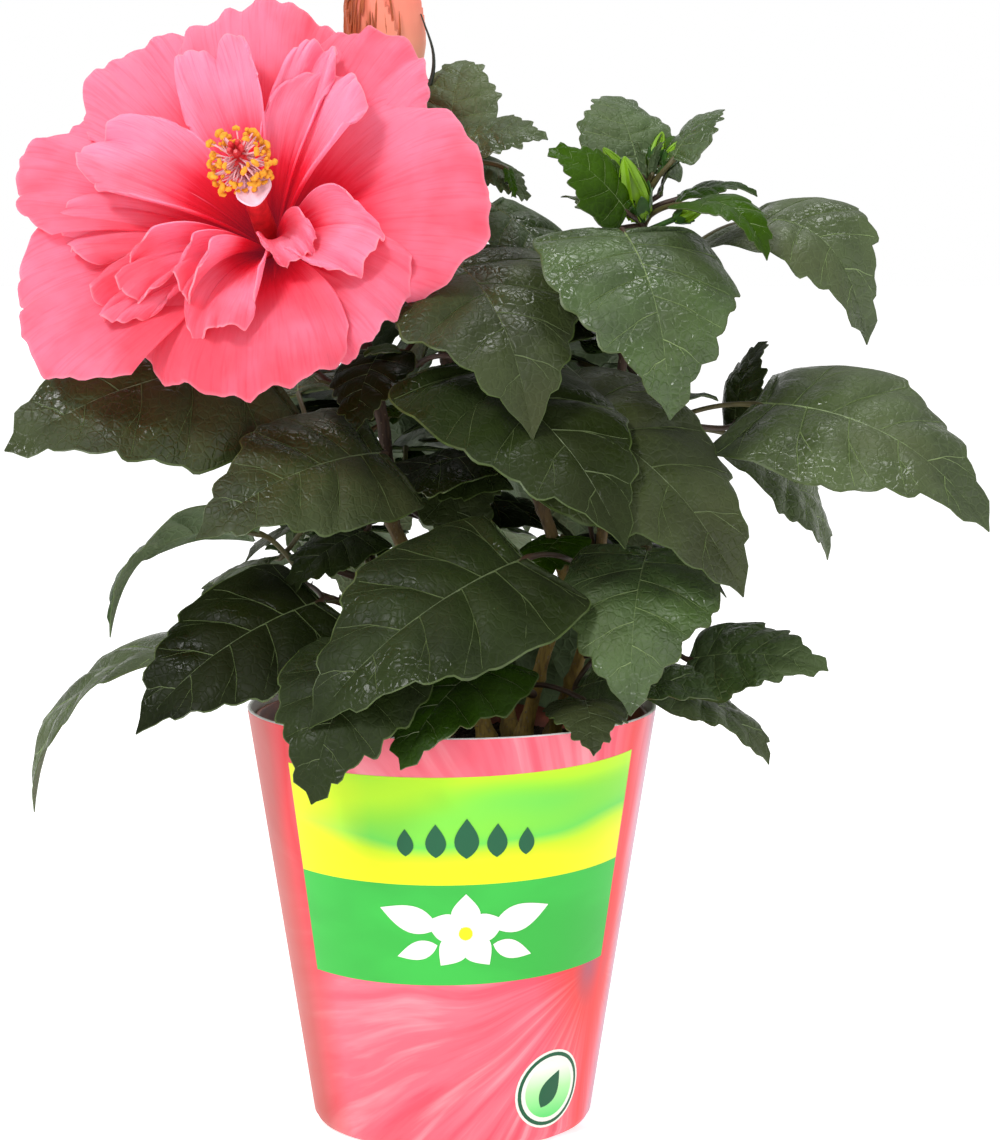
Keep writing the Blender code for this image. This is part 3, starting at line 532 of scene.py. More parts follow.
# Each lamp's place, size and power.
LAMPS = {
    "key": ((-0.8, -1.2, 1.5), 0.4, 20),
    "fill": ((1.3, -1.0, 0.8), 1.0, 3),
    "top": ((0.2, 0.4, 1.8), 0.6, 9),
}
CAMERA_PLACE = (0.0153, -1.10, 0.315)
CAMERA_PITCH = 90 - 7.16
CAMERA_LENS = 110.5


# Sizes and colours a user would change

def colour_property(name, description, default):
    return FloatVectorProperty(name=name, description=description, default=default,
                               subtype="COLOR", size=3, min=0, max=1)


def length_property(name, description, default):
    return FloatProperty(name=name, description=description, default=default,
                         subtype="DISTANCE", unit="LENGTH", min=0)


def share_property(name, description, default):
    return FloatProperty(name=name, description=description, default=default,
                         subtype="FACTOR", min=0, max=1)


class ShrubSizes(bpy.types.PropertyGroup):
    """Sizes of the fine detail; the main sizes come with the solids."""
    blade_thickness: length_property("Blade thickness", "How thick a leaf blade is", 0.00034)
    blade_swell: share_property("Blade swell", "Rise between side veins, by the leaf's length", 0.027)
    tooth_depth: share_property("Tooth depth", "Leaf teeth, by the blade's half width", 0.095)
    vein_width: length_property("Vein width", "Width of a large leaf's midrib at its base", 0.0011)
    petal_thickness: length_property("Petal thickness", "How thick a petal is", 0.0006)
    petal_frill: length_property("Petal frill", "Height of the middling waves on a petal's rim", 0.0016)
    bark_relief: share_property("Bark relief", "Depth of ridges, by the stem's radius", 0.09)
    anther_spacing: length_property("Anther spacing", "Least gap between two anthers", 0.00098)
    crumb_spacing: length_property("Crumb spacing", "Least gap between two crumbs of soil", 0.0016)


class ShrubColours(bpy.types.PropertyGroup):
    """Base colours of the shrub and its pot."""
    # Leaf greens: the shaded and half-shaded ones are painted shade, the ones for full light and for light
    # behind the blade are painted light, and the grey one is a painted sky sheen.
    deep: colour_property("Deep leaf", "Old leaves in the shade", (0.0085, 0.0130, 0.0025))
    dusk: colour_property("Shaded leaf", "Leaves half in the shade", (0.017, 0.0265, 0.0065))
    mid: colour_property("Leaf", "Most leaves", (0.035, 0.047, 0.015))
    painted_lit: colour_property("Fresh leaf", "Leaves in full light", (0.048, 0.082, 0.022))
    grey: colour_property("Grey leaf", "Leaves that turn to the sky", (0.056, 0.080, 0.028))
    painted_backlit: colour_property("Lush leaf", "Leaves with light behind them", (0.018, 0.044, 0.003))
    young: colour_property("Young leaf", "New leaves at the shoots", (0.026, 0.066, 0.001))
    under: colour_property("Leaf underside", "The paler lower side of a leaf", (0.085, 0.125, 0.055))
    vein: colour_property("Vein", "Veins and leaf margins", (0.10, 0.135, 0.048))
    # The pale vein green is painted light on the veins of lit and sky-sheened leaves, and the own vein colour
    # of young leaves.
    pale_vein: colour_property("Pale vein", "Veins of leaves in full light", (0.19, 0.26, 0.10))
    bark: colour_property("Bark", "Woody stems", (0.060, 0.028, 0.014))
    green_bark: colour_property("Green bark", "Stems and stalks that are still green", (0.23, 0.15, 0.022))
    # The upper petals' lighter, lilac pink is partly their own colour and partly painted light from above;
    # the lower petals' deeper coral is partly painted shade.
    petal: colour_property("Petal", "The lower open petals", (0.83, 0.092, 0.135))
    petal_high: colour_property("High petal", "The upper open petals", (0.86, 0.20, 0.30))
    throat: colour_property("Throat", "The bloom's deep red middle", (0.58, 0.004, 0.010))
    petal_edge: colour_property("Petal edge", "The pale line round a petal", (0.90, 0.30, 0.36))
    furled: colour_property("Furled petal", "The closed bloom", (0.90, 0.42, 0.26))
    anther: colour_property("Anther", "Pollen bearing tips", (0.86, 0.33, 0.012))
    print_pink: colour_property("Print", "The pink print on the sleeve", (0.85, 0.145, 0.20))
    lime: colour_property("Lime", "The label's upper band", (0.44, 0.80, 0.02))
    label_green: colour_property("Label green", "The label's lower band", (0.045, 0.44, 0.06))
    clay: colour_property("Clay", "The nursery pot", (0.27, 0.055, 0.026))
    soil: colour_property("Soil", "Peaty soil", (0.022, 0.013, 0.008))


# Vectors and paths

def unit(vector):
    return vector / np.linalg.norm(vector)


def units(vectors):
    return vectors / np.linalg.norm(vectors, axis=-1, keepdims=True)


def towards(heading, rise):
    """The unit vector along a compass heading and a rise, both in degrees."""
    turn, slope = math.radians(heading), math.radians(rise)
    level = math.cos(slope)
    return np.array([level * math.cos(turn), level * math.sin(turn), math.sin(slope)])


def smooth_path(corners, steps):
    """A Catmull-Rom curve through the corners, with so many steps between two of them."""
    knots = [np.array(corner, float) for corner in corners]
    knots = [2 * knots[0] - knots[1]] + knots + [2 * knots[-1] - knots[-2]]
    path = []
    for before, start, end, after in zip(knots, knots[1:], knots[2:], knots[3:]):
        for step in range(steps):
            t = step / steps
            bend = (2 * before - 5 * start + 4 * end - after) * t**2
            turn = (3 * start - before - 3 * end + after) * t**3
            path.append(start + ((end - before) * t + bend + turn) / 2)
    path.append(knots[-2])
    return path


def bent_path(start, way, end, end_way, steps):
    """A curve that leaves the start one way and comes into the end another."""
    reach = np.linalg.norm(end - start)
    path = []
    for step in range(steps + 1):
        t = step / steps
        path.append((2 * t**3 - 3 * t**2 + 1) * start + (t**3 - 2 * t**2 + t) * reach * way
                    + (3 * t**2 - 2 * t**3) * end + (t**3 - t**2) * reach * end_way)
    return path


def along_path(path):
    """The distance of each point of a path from its start."""
    return np.concatenate([[0], np.cumsum(np.linalg.norm(np.diff(path, axis=0), axis=1))])


def evenly(path, step):
    """The same path with its points about a step apart."""
    path = np.array(path)
    along = along_path(path)
    marks = np.linspace(0, along[-1], max(3, round(along[-1] / step) + 1))
    return np.stack([np.interp(marks, along, path[:, axis]) for axis in range(3)], axis=1)


def point_at(path, share):
    """The point at a share of a path's length."""
    path = np.array(path)
    along = along_path(path)
    return np.array([np.interp(share * along[-1], along, path[:, axis]) for axis in range(3)])


# Closed shapes

class Pile:
    """Closed shapes gathered for one piece, each face with its finish and each point with a UV."""

    def __init__(self):
        self.points, self.faces, self.kinds, self.spots, self.count = [], [], [], [], 0

    def add(self, points, faces, kinds=0, spots=None):
        """Takes in a closed shape: its points, arrays of its faces, and each face's finish."""
        points = np.asarray(points).reshape(-1, 3)
        self.points.append(points)
        for face in faces:
            self.faces += (np.asarray(face) + self.count).tolist()
        size = sum(len(face) for face in faces)
        self.kinds += np.broadcast_to(kinds, size).tolist()
        self.spots.append(np.zeros((len(points), 2)) if spots is None else spots.reshape(-1, 2))
        self.count += len(points)


def quads(index):
    """The four-sided faces of a grid of point numbers."""
    corners = (index[:-1, :-1], index[:-1, 1:], index[1:, 1:], index[1:, :-1])
    return np.stack(corners, axis=-1).reshape(-1, 4)


def numbered(rows, columns):
    """The point numbers of a grid."""
    return np.arange(rows * columns).reshape(rows, columns)


@functools.cache
def shell_faces(rows, columns):
    """Faces of a closed sheet: upper side, lower side and rim."""
    index = numbered(rows, columns)
    size = rows * columns
    loop = np.concatenate([index[0, :-1], index[:-1, -1], index[-1, :0:-1], index[:0:-1, 0]])
    after = np.roll(loop, -1)
    rim = np.stack([after, loop, loop + size, after + size], axis=1)
    return quads(index), (quads(index) + size)[:, ::-1], rim


def add_shell(pile, grid, offset, kinds=(0, 1, 2), edge=None, spots=None):
    """A sheet and its underside, an offset below it, with the outermost strips finished as an edge."""
    rows, columns = grid.shape[:2]
    faces = shell_faces(rows, columns)
    upper = np.full((rows - 1, columns - 1), kinds[0])
    if edge is not None:
        upper[:, [0, -1]] = edge
    finish = np.concatenate([upper.ravel(), np.full(len(faces[1]), kinds[1]),
                             np.full(len(faces[2]), kinds[2])])
    both = np.concatenate([grid.reshape(-1, 3), (grid - offset).reshape(-1, 3)])
    if spots is not None:
        spots = np.concatenate([spots.reshape(-1, 2)] * 2)
    pile.add(both, faces, finish, spots)


def sheet_normals(grid):
    """The way each point of a grid faces."""
    return units(np.cross(np.gradient(grid, axis=1), np.gradient(grid, axis=0)))


@functools.cache
def tube_faces(rings, sides):
    index = numbered(rings, sides)
    wall = quads(np.concatenate([index, index[:, :1]], axis=1))
    return wall, index[:1, ::-1], index[-1:]


def carried(ways):
    """A sideways direction at each point of a path, turning as little as it can."""
    guide = unit(np.cross(ways[0], (0.31, 0.17, 0.93)))
    guides = []
    for way in ways:
        guide = unit(guide - way * (guide @ way))
        guides.append(guide)
    return np.array(guides)


def tube_points(path, radii, sides, up=None, flatness=1.0):
    """Rings round a path; with an up direction they are only so high for their width."""
    path = np.asarray(path, float)
    ways = units(np.gradient(path, axis=0))
    guides = carried(ways) if up is None else units(up - ways * (ways @ up)[:, None])
    beside = np.cross(ways, guides)
    angles = 2 * math.pi * np.arange(sides) / sides
    high = np.cos(angles)[None, :, None] * guides[:, None] * flatness
    wide = np.sin(angles)[None, :, None] * beside[:, None]
    radii = np.asarray(radii, float)
    if radii.ndim == 1:
        radii = radii[:, None]
    return path[:, None] + (high + wide) * radii[..., None]


def add_tube(pile, path, radii, sides, kind=0, up=None, flatness=1.0):
    points = tube_points(path, radii, sides, up, flatness)
    pile.add(points, tube_faces(len(points), sides), kind)


def turned_grid(profile, columns):
    """A profile of (radius, height) turned round +Z, with the seam's points there twice."""
    angles = -math.pi / 2 + 2 * math.pi * np.arange(columns + 1) / columns - math.pi
    profile = np.array(profile, float)
    x = profile[:, :1] * np.cos(angles)
    y = profile[:, :1] * np.sin(angles)
    z = np.broadcast_to(profile[:, 1:], x.shape)
    return np.stack([x, y, z], axis=-1), angles


def even_profile(start, end, steps):
    """Points of a straight stretch of a profile, without its last one."""
    shares = np.linspace(0, 1, steps, endpoint=False)[:, None]
    return (np.array(start) + (np.array(end) - np.array(start)) * shares).tolist()


# Pieces

def pile_mesh(name, pile):
    """A pile's points and faces as a mesh in metres."""
    mesh = bpy.data.meshes.new(name)
    mesh.from_pydata((np.concatenate(pile.points) * MM).tolist(), [], pile.faces)
    return mesh


def linked(name, data):
    """A new object in the scene."""
    made = bpy.data.objects.new(name, data)
    bpy.context.scene.collection.objects.link(made)
    return made


def make_piece(name, pile, finishes, replaced=(), crease=50, weld=False):
    """A finished piece from a pile of shapes, riding on the shrub."""
    mesh = pile_mesh(name, pile)
    for finish in finishes:
        mesh.materials.append(finish)
    mesh.polygons.foreach_set("material_index", pile.kinds)
    corners = np.zeros(len(mesh.loops), int)
    mesh.loops.foreach_get("vertex_index", corners)
    layer = mesh.uv_layers.new(name="Wrap")
    layer.uv.foreach_set("vector", np.concatenate(pile.spots)[corners].astype(np.float32).ravel())
    if weld:
        form = bmesh.new()
        form.from_mesh(mesh)
        bmesh.ops.remove_doubles(form, verts=form.verts, dist=MM * MM)
        form.to_mesh(mesh)
        form.free()
    mesh.shade_smooth()
    mesh.set_sharp_from_angle(angle=math.radians(crease))
    return add_piece(name, mesh, replaced)


def add_piece(name, mesh, replaced=()):
    piece = linked(name, mesh)
    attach(piece, "root")
    if replaced:
        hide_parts(*replaced)
    return piece


# Materials

def join(tree, value, socket):
    """Links a socket to another, or sets it to a number or a colour."""
    if isinstance(value, bpy.types.NodeSocket):
        tree.links.new(value, socket)
    elif socket.type == "RGBA":
        socket.default_value = (*tuple(value)[:3], 1)
    else:
        socket.default_value = value


def node(tree, kind, inputs, **settings):
    """A node with its settings made and its inputs joined."""
    made = tree.nodes.new(kind)
    for name, value in settings.items():
        setattr(made, name, value)
    for name, value in inputs.items():
        join(tree, value, made.inputs[name])
    return made


def finish(name, colour, roughness, **constants):
    """A material with its main shader's own values set."""
    made = bpy.data.materials.new(name)
    made.use_nodes = True
    tree = made.node_tree
    shader = tree.nodes["Principled BSDF"]
    join(tree, colour, shader.inputs["Base Color"])
    shader.inputs["Roughness"].default_value = roughness
    for socket, value in constants.items():
        shader.inputs[socket.replace("_", " ")].default_value = value
    return made, tree, shader


def placed(tree, scale=(1, 1, 1), turn=0.0, mapped=False):
    """Object or UV coordinates in metres, stretched and turned by a Mapping node."""
    source = tree.nodes.new("ShaderNodeTexCoord")
    if mapped:
        source = tree.nodes.new("ShaderNodeUVMap")
        source.uv_map = "Wrap"
    vector = source.outputs["UV" if mapped else "Object"]
    mapping = node(tree, "ShaderNodeMapping", {"Vector": vector, "Scale": scale})
    mapping.inputs["Rotation"].default_value = (0, 0, math.radians(turn))
    return mapping.outputs["Vector"]


def part_of(tree, vector, axis):
    """One of a vector's three numbers."""
    return node(tree, "ShaderNodeSeparateXYZ", {"Vector": vector}).outputs[axis]


def noise(tree, vector, scale, detail=3.0, distortion=0.0):
    made = node(tree, "ShaderNodeTexNoise",
                {"Vector": vector, "Scale": scale, "Detail": detail, "Distortion": distortion})
    return made.outputs["Fac"]


def cells(tree, vector, scale, feature="DISTANCE_TO_EDGE"):
    made = node(tree, "ShaderNodeTexVoronoi", {"Vector": vector, "Scale": scale}, feature=feature)
    return made.outputs["Distance"]


def ramp(tree, value, stops):
    """A colour ramp; each stop is a place and a colour, or a place and a grey level."""
    made = node(tree, "ShaderNodeValToRGB", {"Fac": value})
    marks = made.color_ramp.elements
    while len(marks) < len(stops):
        marks.new(0.5)
    for mark, (place, _) in zip(marks, stops):
        mark.position = place
    for mark, (_, colour) in zip(marks, stops):
        level = tuple(colour)[:3] if hasattr(colour, "__len__") else (colour,) * 3
        mark.color = (*level, 1)
    return made.outputs["Color"]


def blend(tree, share, first, second, way="MIX"):
    """The first colour, with so large a share of the second."""
    made = tree.nodes.new("ShaderNodeMix")
    made.data_type = "RGBA"
    made.blend_type = way
    join(tree, share, made.inputs[0])
    join(tree, first, made.inputs[6])
    join(tree, second, made.inputs[7])
    return made.outputs[2]


def ranged(tree, value, low, high, start=0.0, end=1.0):
    """A value's run from start to end, taken to low to high and held at both ends."""
    made = node(tree, "ShaderNodeMapRange", {"Value": value, "From Min": start, "From Max": end,
                                             "To Min": low, "To Max": high})
    return made.outputs["Result"]


def calc(tree, operation, *values):
    made = node(tree, "ShaderNodeMath", dict(enumerate(values)), operation=operation)
    return made.outputs["Value"]


def dressed(tree, shader, tone, *reliefs):
    """Gives the shader its colour, then lays on each relief: a height, a strength, a depth in metres."""
    tree.links.new(tone, shader.inputs["Base Color"])
    earlier = shader.inputs["Normal"]
    for height, strength, distance in reliefs:
        made = node(tree, "ShaderNodeBump", {"Height": height, "Strength": strength, "Distance": distance})
        if earlier.is_linked:
            tree.links.new(earlier.links[0].from_socket, made.inputs["Normal"])
        tree.links.new(made.outputs["Normal"], earlier)


def shaded(colour, factor):
    return tuple(min(1.0, channel * factor) for channel in colour)


def mottled(tree, grain, colour, spread, start=0.3, end=0.7):
    """A colour that a grain takes darker and lighter by the same spread."""
    share = ranged(tree, grain, 0, 1, start, end)
    return blend(tree, share, shaded(colour, 1 - spread), shaded(colour, 1 + spread))


def leaf_finish(name, colour, gloss):
    """A waxy blade: puckered and creased in small cells, glossy in patches, browner in others."""
    made, tree, shader = finish(name, colour, 0.36, Specular_IOR_Level=gloss)
    place = placed(tree)
    tone = mottled(tree, noise(tree, place, 42, 4), colour, 0.3, 0.35, 0.65)
    browner = (colour[0] * 1.12, colour[1] * 0.98, colour[2] * 0.85)
    tone = blend(tree, ranged(tree, noise(tree, place, 24, 2), 0, 0.7, 0.5, 0.68), tone, browner)
    net = cells(tree, place, 360)
    tone = blend(tree, ranged(tree, net, 0.25, 0, 0, 0.08), tone, shaded(colour, 1.8))
    polish = ranged(tree, noise(tree, place, 48, 3), 0.25, 0.58, 0.42, 0.58)
    tree.links.new(polish, shader.inputs["Roughness"])
    dressed(tree, shader, tone,
            (noise(tree, place, 95, 1, 0.4), 0.4, 0.0016),
            (noise(tree, place, 240, 2, 0.6), 0.25 + gloss, 0.0014),
            (ranged(tree, net, 0, 1, 0, 0.14), 0.25 + gloss * 0.4, 0.0004))
    return made


def underside_finish(colour):
    """The dull lower side of a blade, with its net of fine veins standing out."""
    made, tree, shader = finish("leaf_underside", colour, 0.62, Specular_IOR_Level=0.3)
    net = cells(tree, placed(tree), 330)
    tone = blend(tree, ranged(tree, net, 0.6, 0, 0, 0.1), colour, shaded(colour, 1.5))
    dressed(tree, shader, tone, (ranged(tree, net, 1, 0, 0, 0.15), 0.4, 0.0004))
    return made


def plain_plant_finish(name, colour, roughness, scale=300, relief=0.0003):
    """Veins, stalks and sepals: one green or brown with a fine grain."""
    made, tree, shader = finish(name, colour, roughness)
    grain = noise(tree, placed(tree), scale, 3)
    dressed(tree, shader, mottled(tree, grain, colour, 0.25), (grain, 0.4, relief))
    return made


def bark_finish(bark, green):
    """Bark that is tan and greenish near the soil and browner above."""
    made, tree, shader = finish("bark", bark, 0.7)
    rising = ranged(tree, part_of(tree, placed(tree), "Z"), 0, 1, 0.165, 0.205)
    streaks = noise(tree, placed(tree, (1, 1, 0.18)), 900, 4)
    tone = blend(tree, rising, green, bark)
    groove = blend(tree, 1.0, tone, BARK_GROOVE, "MULTIPLY")
    tone = blend(tree, ranged(tree, streaks, 0, 0.8, 0.45, 0.66), tone, groove)
    flecks = cells(tree, placed(tree, (1, 1, 0.5)), 700, "F1")
    tone = blend(tree, ranged(tree, flecks, 0.6, 0, 0.1, 0.25), tone, BARK_FLECK)
    dressed(tree, shader, tone, (streaks, 0.8, 0.0006))
    return made


def petal_finish(name, colours, rim, paler):
    """A thin petal that lets light through, helped by a painted red glow: dark red throat that darkens to
    painted shade at its bottom, soft veins along it, pale rim.
    """
    throat = tuple(colours.throat)
    petal, high = (tuple(np.array(each) * (1, paler, paler)) for each in (colours.petal, colours.petal_high))
    # The emission is a painted glow, not a lamp.
    made, tree, shader = finish(name, petal, 0.6, Specular_IOR_Level=0.08, Subsurface_Weight=0.5,
                                Subsurface_Radius=(1.0, 0.25, 0.3), Subsurface_Scale=0.005,
                                Emission_Color=PAINTED_PETAL_GLOW, Emission_Strength=0.10)
    place = placed(tree)
    along = part_of(tree, placed(tree, mapped=True), "Y")
    # Lighter and more lilac higher up: partly the petals' own colour, partly painted light from above.
    level = calc(tree, "ADD", ranged(tree, part_of(tree, place, "Z"), 0, 1, 0.225, 0.325),
                 ranged(tree, noise(tree, place, 26, 3), -0.7, 0.7, 0.32, 0.68))
    wander = noise(tree, placed(tree, (7, 1, 1), mapped=True), 3.0, 3)
    reach = calc(tree, "ADD", ranged(tree, wander, -0.09, 0.09), along)
    # The throat's deep red is the bloom's own colour; the ramp's fall to near black at its very bottom is
    # painted shade in the depth of the throat.
    depth = ramp(tree, reach, [(0.0, shaded(throat, 0.05)), (0.13, shaded(throat, 0.4)),
                               (0.31, throat), (0.45, PETAL_RED), (0.62, petal)])
    tone = blend(tree, ranged(tree, reach, 0, 1, 0.4, 0.72), depth, blend(tree, level, petal, high))
    veins = noise(tree, placed(tree, (20, 1.2, 1), mapped=True), 3.2, 4, 0.5)
    reddened = blend(tree, 0.9, tone, PETAL_VEIN, "MULTIPLY")
    tone = blend(tree, ranged(tree, veins, 0.4, 0, 0.33, 0.5), tone, reddened)
    tone = blend(tree, ramp(tree, along, [(0.984, 0.0), (0.998, rim)]), tone, tuple(colours.petal_edge))
    dressed(tree, shader, tone, (veins, 0.4, 0.0007), (noise(tree, place, 90, 3), 0.4, 0.0010))
    return made


# Pot, label and soil

def sleeve_radius(height):
    share = height / SLEEVE_HEIGHT
    return SLEEVE_FOOT_RADIUS + (SLEEVE_TOP_RADIUS - SLEEVE_FOOT_RADIUS) * share


def from_middle(tree, across, height, warp):
    """How far a point of the print lies from the printed flower's middle, and its ray out of it."""
    over = calc(tree, "ADD", calc(tree, "SUBTRACT", across, PRINT_MIDDLE[0]), warp)
    high = calc(tree, "ADD", calc(tree, "SUBTRACT", height, PRINT_MIDDLE[1]), warp)
    out = node(tree, "ShaderNodeCombineXYZ", {"X": over, "Y": high}).outputs["Vector"]
    away = node(tree, "ShaderNodeVectorMath", {0: out}, operation="LENGTH").outputs["Value"]
    facing = node(tree, "ShaderNodeVectorMath", {0: out}, operation="NORMALIZE").outputs["Vector"]
    ray = {axis: part_of(tree, facing, axis) for axis in "XY"}
    ray["Z"] = calc(tree, "MULTIPLY", away, RAY_STRETCH)
    return away, node(tree, "ShaderNodeCombineXYZ", ray).outputs["Vector"]


def print_finish(colours):
    """A pink print of one huge flower: its petals' folds run out from a red middle at the right."""
    pink = tuple(colours.print_pink)
    made, tree, shader = finish("pink_print", pink, 0.4, Specular_IOR_Level=0.18)
    flat, place, rear = placed(tree, mapped=True), placed(tree), placed(tree, (1, 1, 0.3))
    across, height = part_of(tree, flat, "X"), part_of(tree, flat, "Y")
    warp = ranged(tree, noise(tree, place, 18, 1), -0.004, 0.004, 0.3, 0.7)
    away, rays = from_middle(tree, across, height, warp)
    behind = ranged(tree, calc(tree, "ABSOLUTE", across), 0, 1, 0.105, 0.135)
    folds = blend(tree, behind, noise(tree, rays, 3.2, 3, 0.2), noise(tree, rear, 26, 3, 0.6))
    fibres = blend(tree, behind, noise(tree, rays, 17, 4, 0.2), noise(tree, rear, 120, 4))
    tone = ramp(tree, folds, [(0.34, shaded(pink, 0.82)), (0.48, pink), (0.68, PRINT_LIGHT)])
    crease = blend(tree, 0.8, tone, PRINT_CREASE, "MULTIPLY")
    tone = blend(tree, ranged(tree, fibres, 0.75, 0, 0.36, 0.5), tone, crease)
    tone = blend(tree, ranged(tree, fibres, 0, 0.4, 0.54, 0.68), tone, PRINT_FIBRE)
    tone = blend(tree, ranged(tree, away, 0.95, 0, 0.010, 0.034), tone, PRINT_RED)
    tone = blend(tree, ranged(tree, away, 0.85, 0, 0.004, 0.016), tone, PRINT_HEART)
    # The sides carry painted shade on the left and a painted highlight on the right, beside the print's own
    # red folds.
    tone = shaded_sides(tree, across, height, warp, tone)
    dressed(tree, shader, tone, (noise(tree, place, 25, 2), 0.2, 0.0006))
    return made


def shaded_sides(tree, across, height, warp, tone):
    """Red folds beside the label, painted coral shade towards the left edge and a painted lilac highlight
    down the right.
    """
    def stripe(value, low, high, *stops):
        return ramp(tree, ranged(tree, value, 0, 1, low, high), [(0.0, 0.0), *stops, (1.0, 0.0)])

    place = calc(tree, "ADD", across, warp)
    fold = calc(tree, "MULTIPLY", stripe(place, -0.074, -0.048, (0.5, 0.9)),
                ranged(tree, height, 0.25, 1, 0.045, 0.10))
    # Painted shade towards the left edge.
    tone = blend(tree, stripe(across, -0.116, -0.050, (0.25, 0.95), (0.7, 0.8)), tone, PAINTED_CORAL_SHADE)
    tone = blend(tree, fold, tone, LEFT_FOLD)
    tone = blend(tree, stripe(place, 0.060, 0.086, (0.5, 0.9)), tone, RIGHT_FOLD)
    # A painted highlight down the right edge.
    return blend(tree, stripe(across, 0.078, 0.118, (0.4, 0.85)), tone, PAINTED_LILAC_HIGHLIGHT)


def white_edge_finish():
    """The sleeve's bare rim and underside."""
    made, tree, shader = finish("white_edge", EDGE_WHITES[0], 0.5)
    grain = noise(tree, placed(tree), 500, 2)
    dressed(tree, shader, blend(tree, grain, *EDGE_WHITES), (grain, 0.2, 0.0002))
    return made


def wrapped_piece(name, profile, kinds, finishes, replaced):
    """A turned piece whose UV map is its wall laid flat, in metres from the front's middle."""
    grid, angles = turned_grid(profile, POT_COLUMNS)
    around = (angles + math.pi / 2) * SLEEVE_TOP_RADIUS * MM
    spots = np.stack(np.broadcast_arrays(around[None, :], grid[..., 2] * MM), axis=-1)
    pile = Pile()
    pile.add(grid, [quads(numbered(*grid.shape[:2]))], np.repeat(kinds, POT_COLUMNS), spots)
    return make_piece(name, pile, finishes, replaced, crease=POT_CREASE, weld=True)


def build_sleeve(sizes, colours):
    """The printed sleeve, with a rounded foot and a white rim."""
    top, lip = SLEEVE_TOP_RADIUS, SLEEVE_LIP
    foot, bend = SLEEVE_FOOT_RADIUS, FOOT_ROUNDING
    turns = np.linspace(0, math.pi / 2, FOOT_STEPS, endpoint=False)
    rounding = [(foot - bend * (1 - math.sin(turn)), bend * (1 - math.cos(turn))) for turn in turns]
    outside = even_profile((sleeve_radius(bend), bend), (top, SLEEVE_HEIGHT - lip), WALL_ROWS)
    rim = [(top, SLEEVE_HEIGHT - lip), (top - lip, SLEEVE_HEIGHT), (top - SLEEVE_WALL + lip, SLEEVE_HEIGHT),
           (top - SLEEVE_WALL, SLEEVE_HEIGHT - lip)]
    floor = FLOOR_THICKNESS
    inside = [(sleeve_radius(floor) - SLEEVE_WALL - FLOOR_INSET, floor), (0, floor)]
    profile = [(0, 0)] + rounding + outside + rim + inside
    printed = len(rounding) + len(outside)
    kinds = [1] + [0] * printed + [1] * (len(profile) - printed - 2)
    finishes = [print_finish(colours), white_edge_finish()]
    wrapped_piece("pot_sleeve", profile, kinds, finishes, ["sleeve"])


def nursery_finish(clay):
    made, tree, shader = finish("nursery_plastic", clay, 0.45)
    scuffs = noise(tree, placed(tree, (1, 1, 4)), 90, 5)
    tone = blend(tree, ranged(tree, scuffs, 0, 1, 0.35, 0.7), shaded(clay, 0.7), shaded(clay, 1.35))
    dressed(tree, shader, tone, (scuffs, 0.3, 0.0004))
    return made


def build_nursery_pot(sizes, colours):
    """The inner pot, stepped in a little below its rim."""
    under = FLOOR_THICKNESS + GAP
    top = SLEEVE_HEIGHT - NURSERY_DROP
    step_down = top - NURSERY_STEP_DOWN
    wall, lip, floor = NURSERY_WALL, NURSERY_LIP, FLOOR_THICKNESS

    def wall_at(height, inset, measured=None):
        """A point some way into the pot's side; its radius may be measured at another height."""
        radius = sleeve_radius(height if measured is None else measured)
        return (radius - SLEEVE_WALL - NURSERY_CLEARANCE - inset, height)

    profile = [(0, under), wall_at(under, FLOOR_INSET), wall_at(top - 2 * lip, 0),
               wall_at(top - lip / 2, lip, top), wall_at(top, wall / 2),
               wall_at(top - lip / 2, wall - lip, top), wall_at(top - 0.8, wall),
               wall_at(step_down, wall), wall_at(step_down - 1, wall + NURSERY_STEP),
               wall_at(SOIL_TOP - 8, wall + NURSERY_STEP),
               wall_at(under + floor, wall + FLOOR_INSET), (0, under + floor)]
    clay = nursery_finish(tuple(colours.clay))
    wrapped_piece("nursery_liner", profile, [0] * (len(profile) - 1), [clay], ["nursery_pot"])


def on_sleeve(angle, height, lift):
    """A point on the sleeve, by degrees from the front and height, lifted off it."""
    turn = np.radians(angle) - math.pi / 2
    radius = sleeve_radius(height) + lift
    return np.stack([radius * np.cos(turn), radius * np.sin(turn), height], axis=-1)


def label_height(ends, share):
    """The height of a label line at a share of its width: it sags a little in the middle."""
    return ends[0] + (ends[1] - ends[0]) * share - LABEL_SAG * 4 * share * (1 - share)


def label_band(pile, upper, lower, kind):
    """A strip of the label between two of its lines."""
    share, row = np.meshgrid(np.linspace(0, 1, LABEL_COLUMNS), np.linspace(0, 1, LABEL_ROWS))
    angle = LABEL_LEFT + (LABEL_RIGHT - LABEL_LEFT) * share
    height = label_height(lower, share) + (label_height(upper, share) - label_height(lower, share)) * row
    outside = on_sleeve(angle, height, LABEL_LIFT)
    spots = np.stack([share * LABEL_SPAN, height * MM], axis=-1)
    add_shell(pile, outside, outside - on_sleeve(angle, height, -LABEL_LIFT), (kind,) * 3, spots=spots)


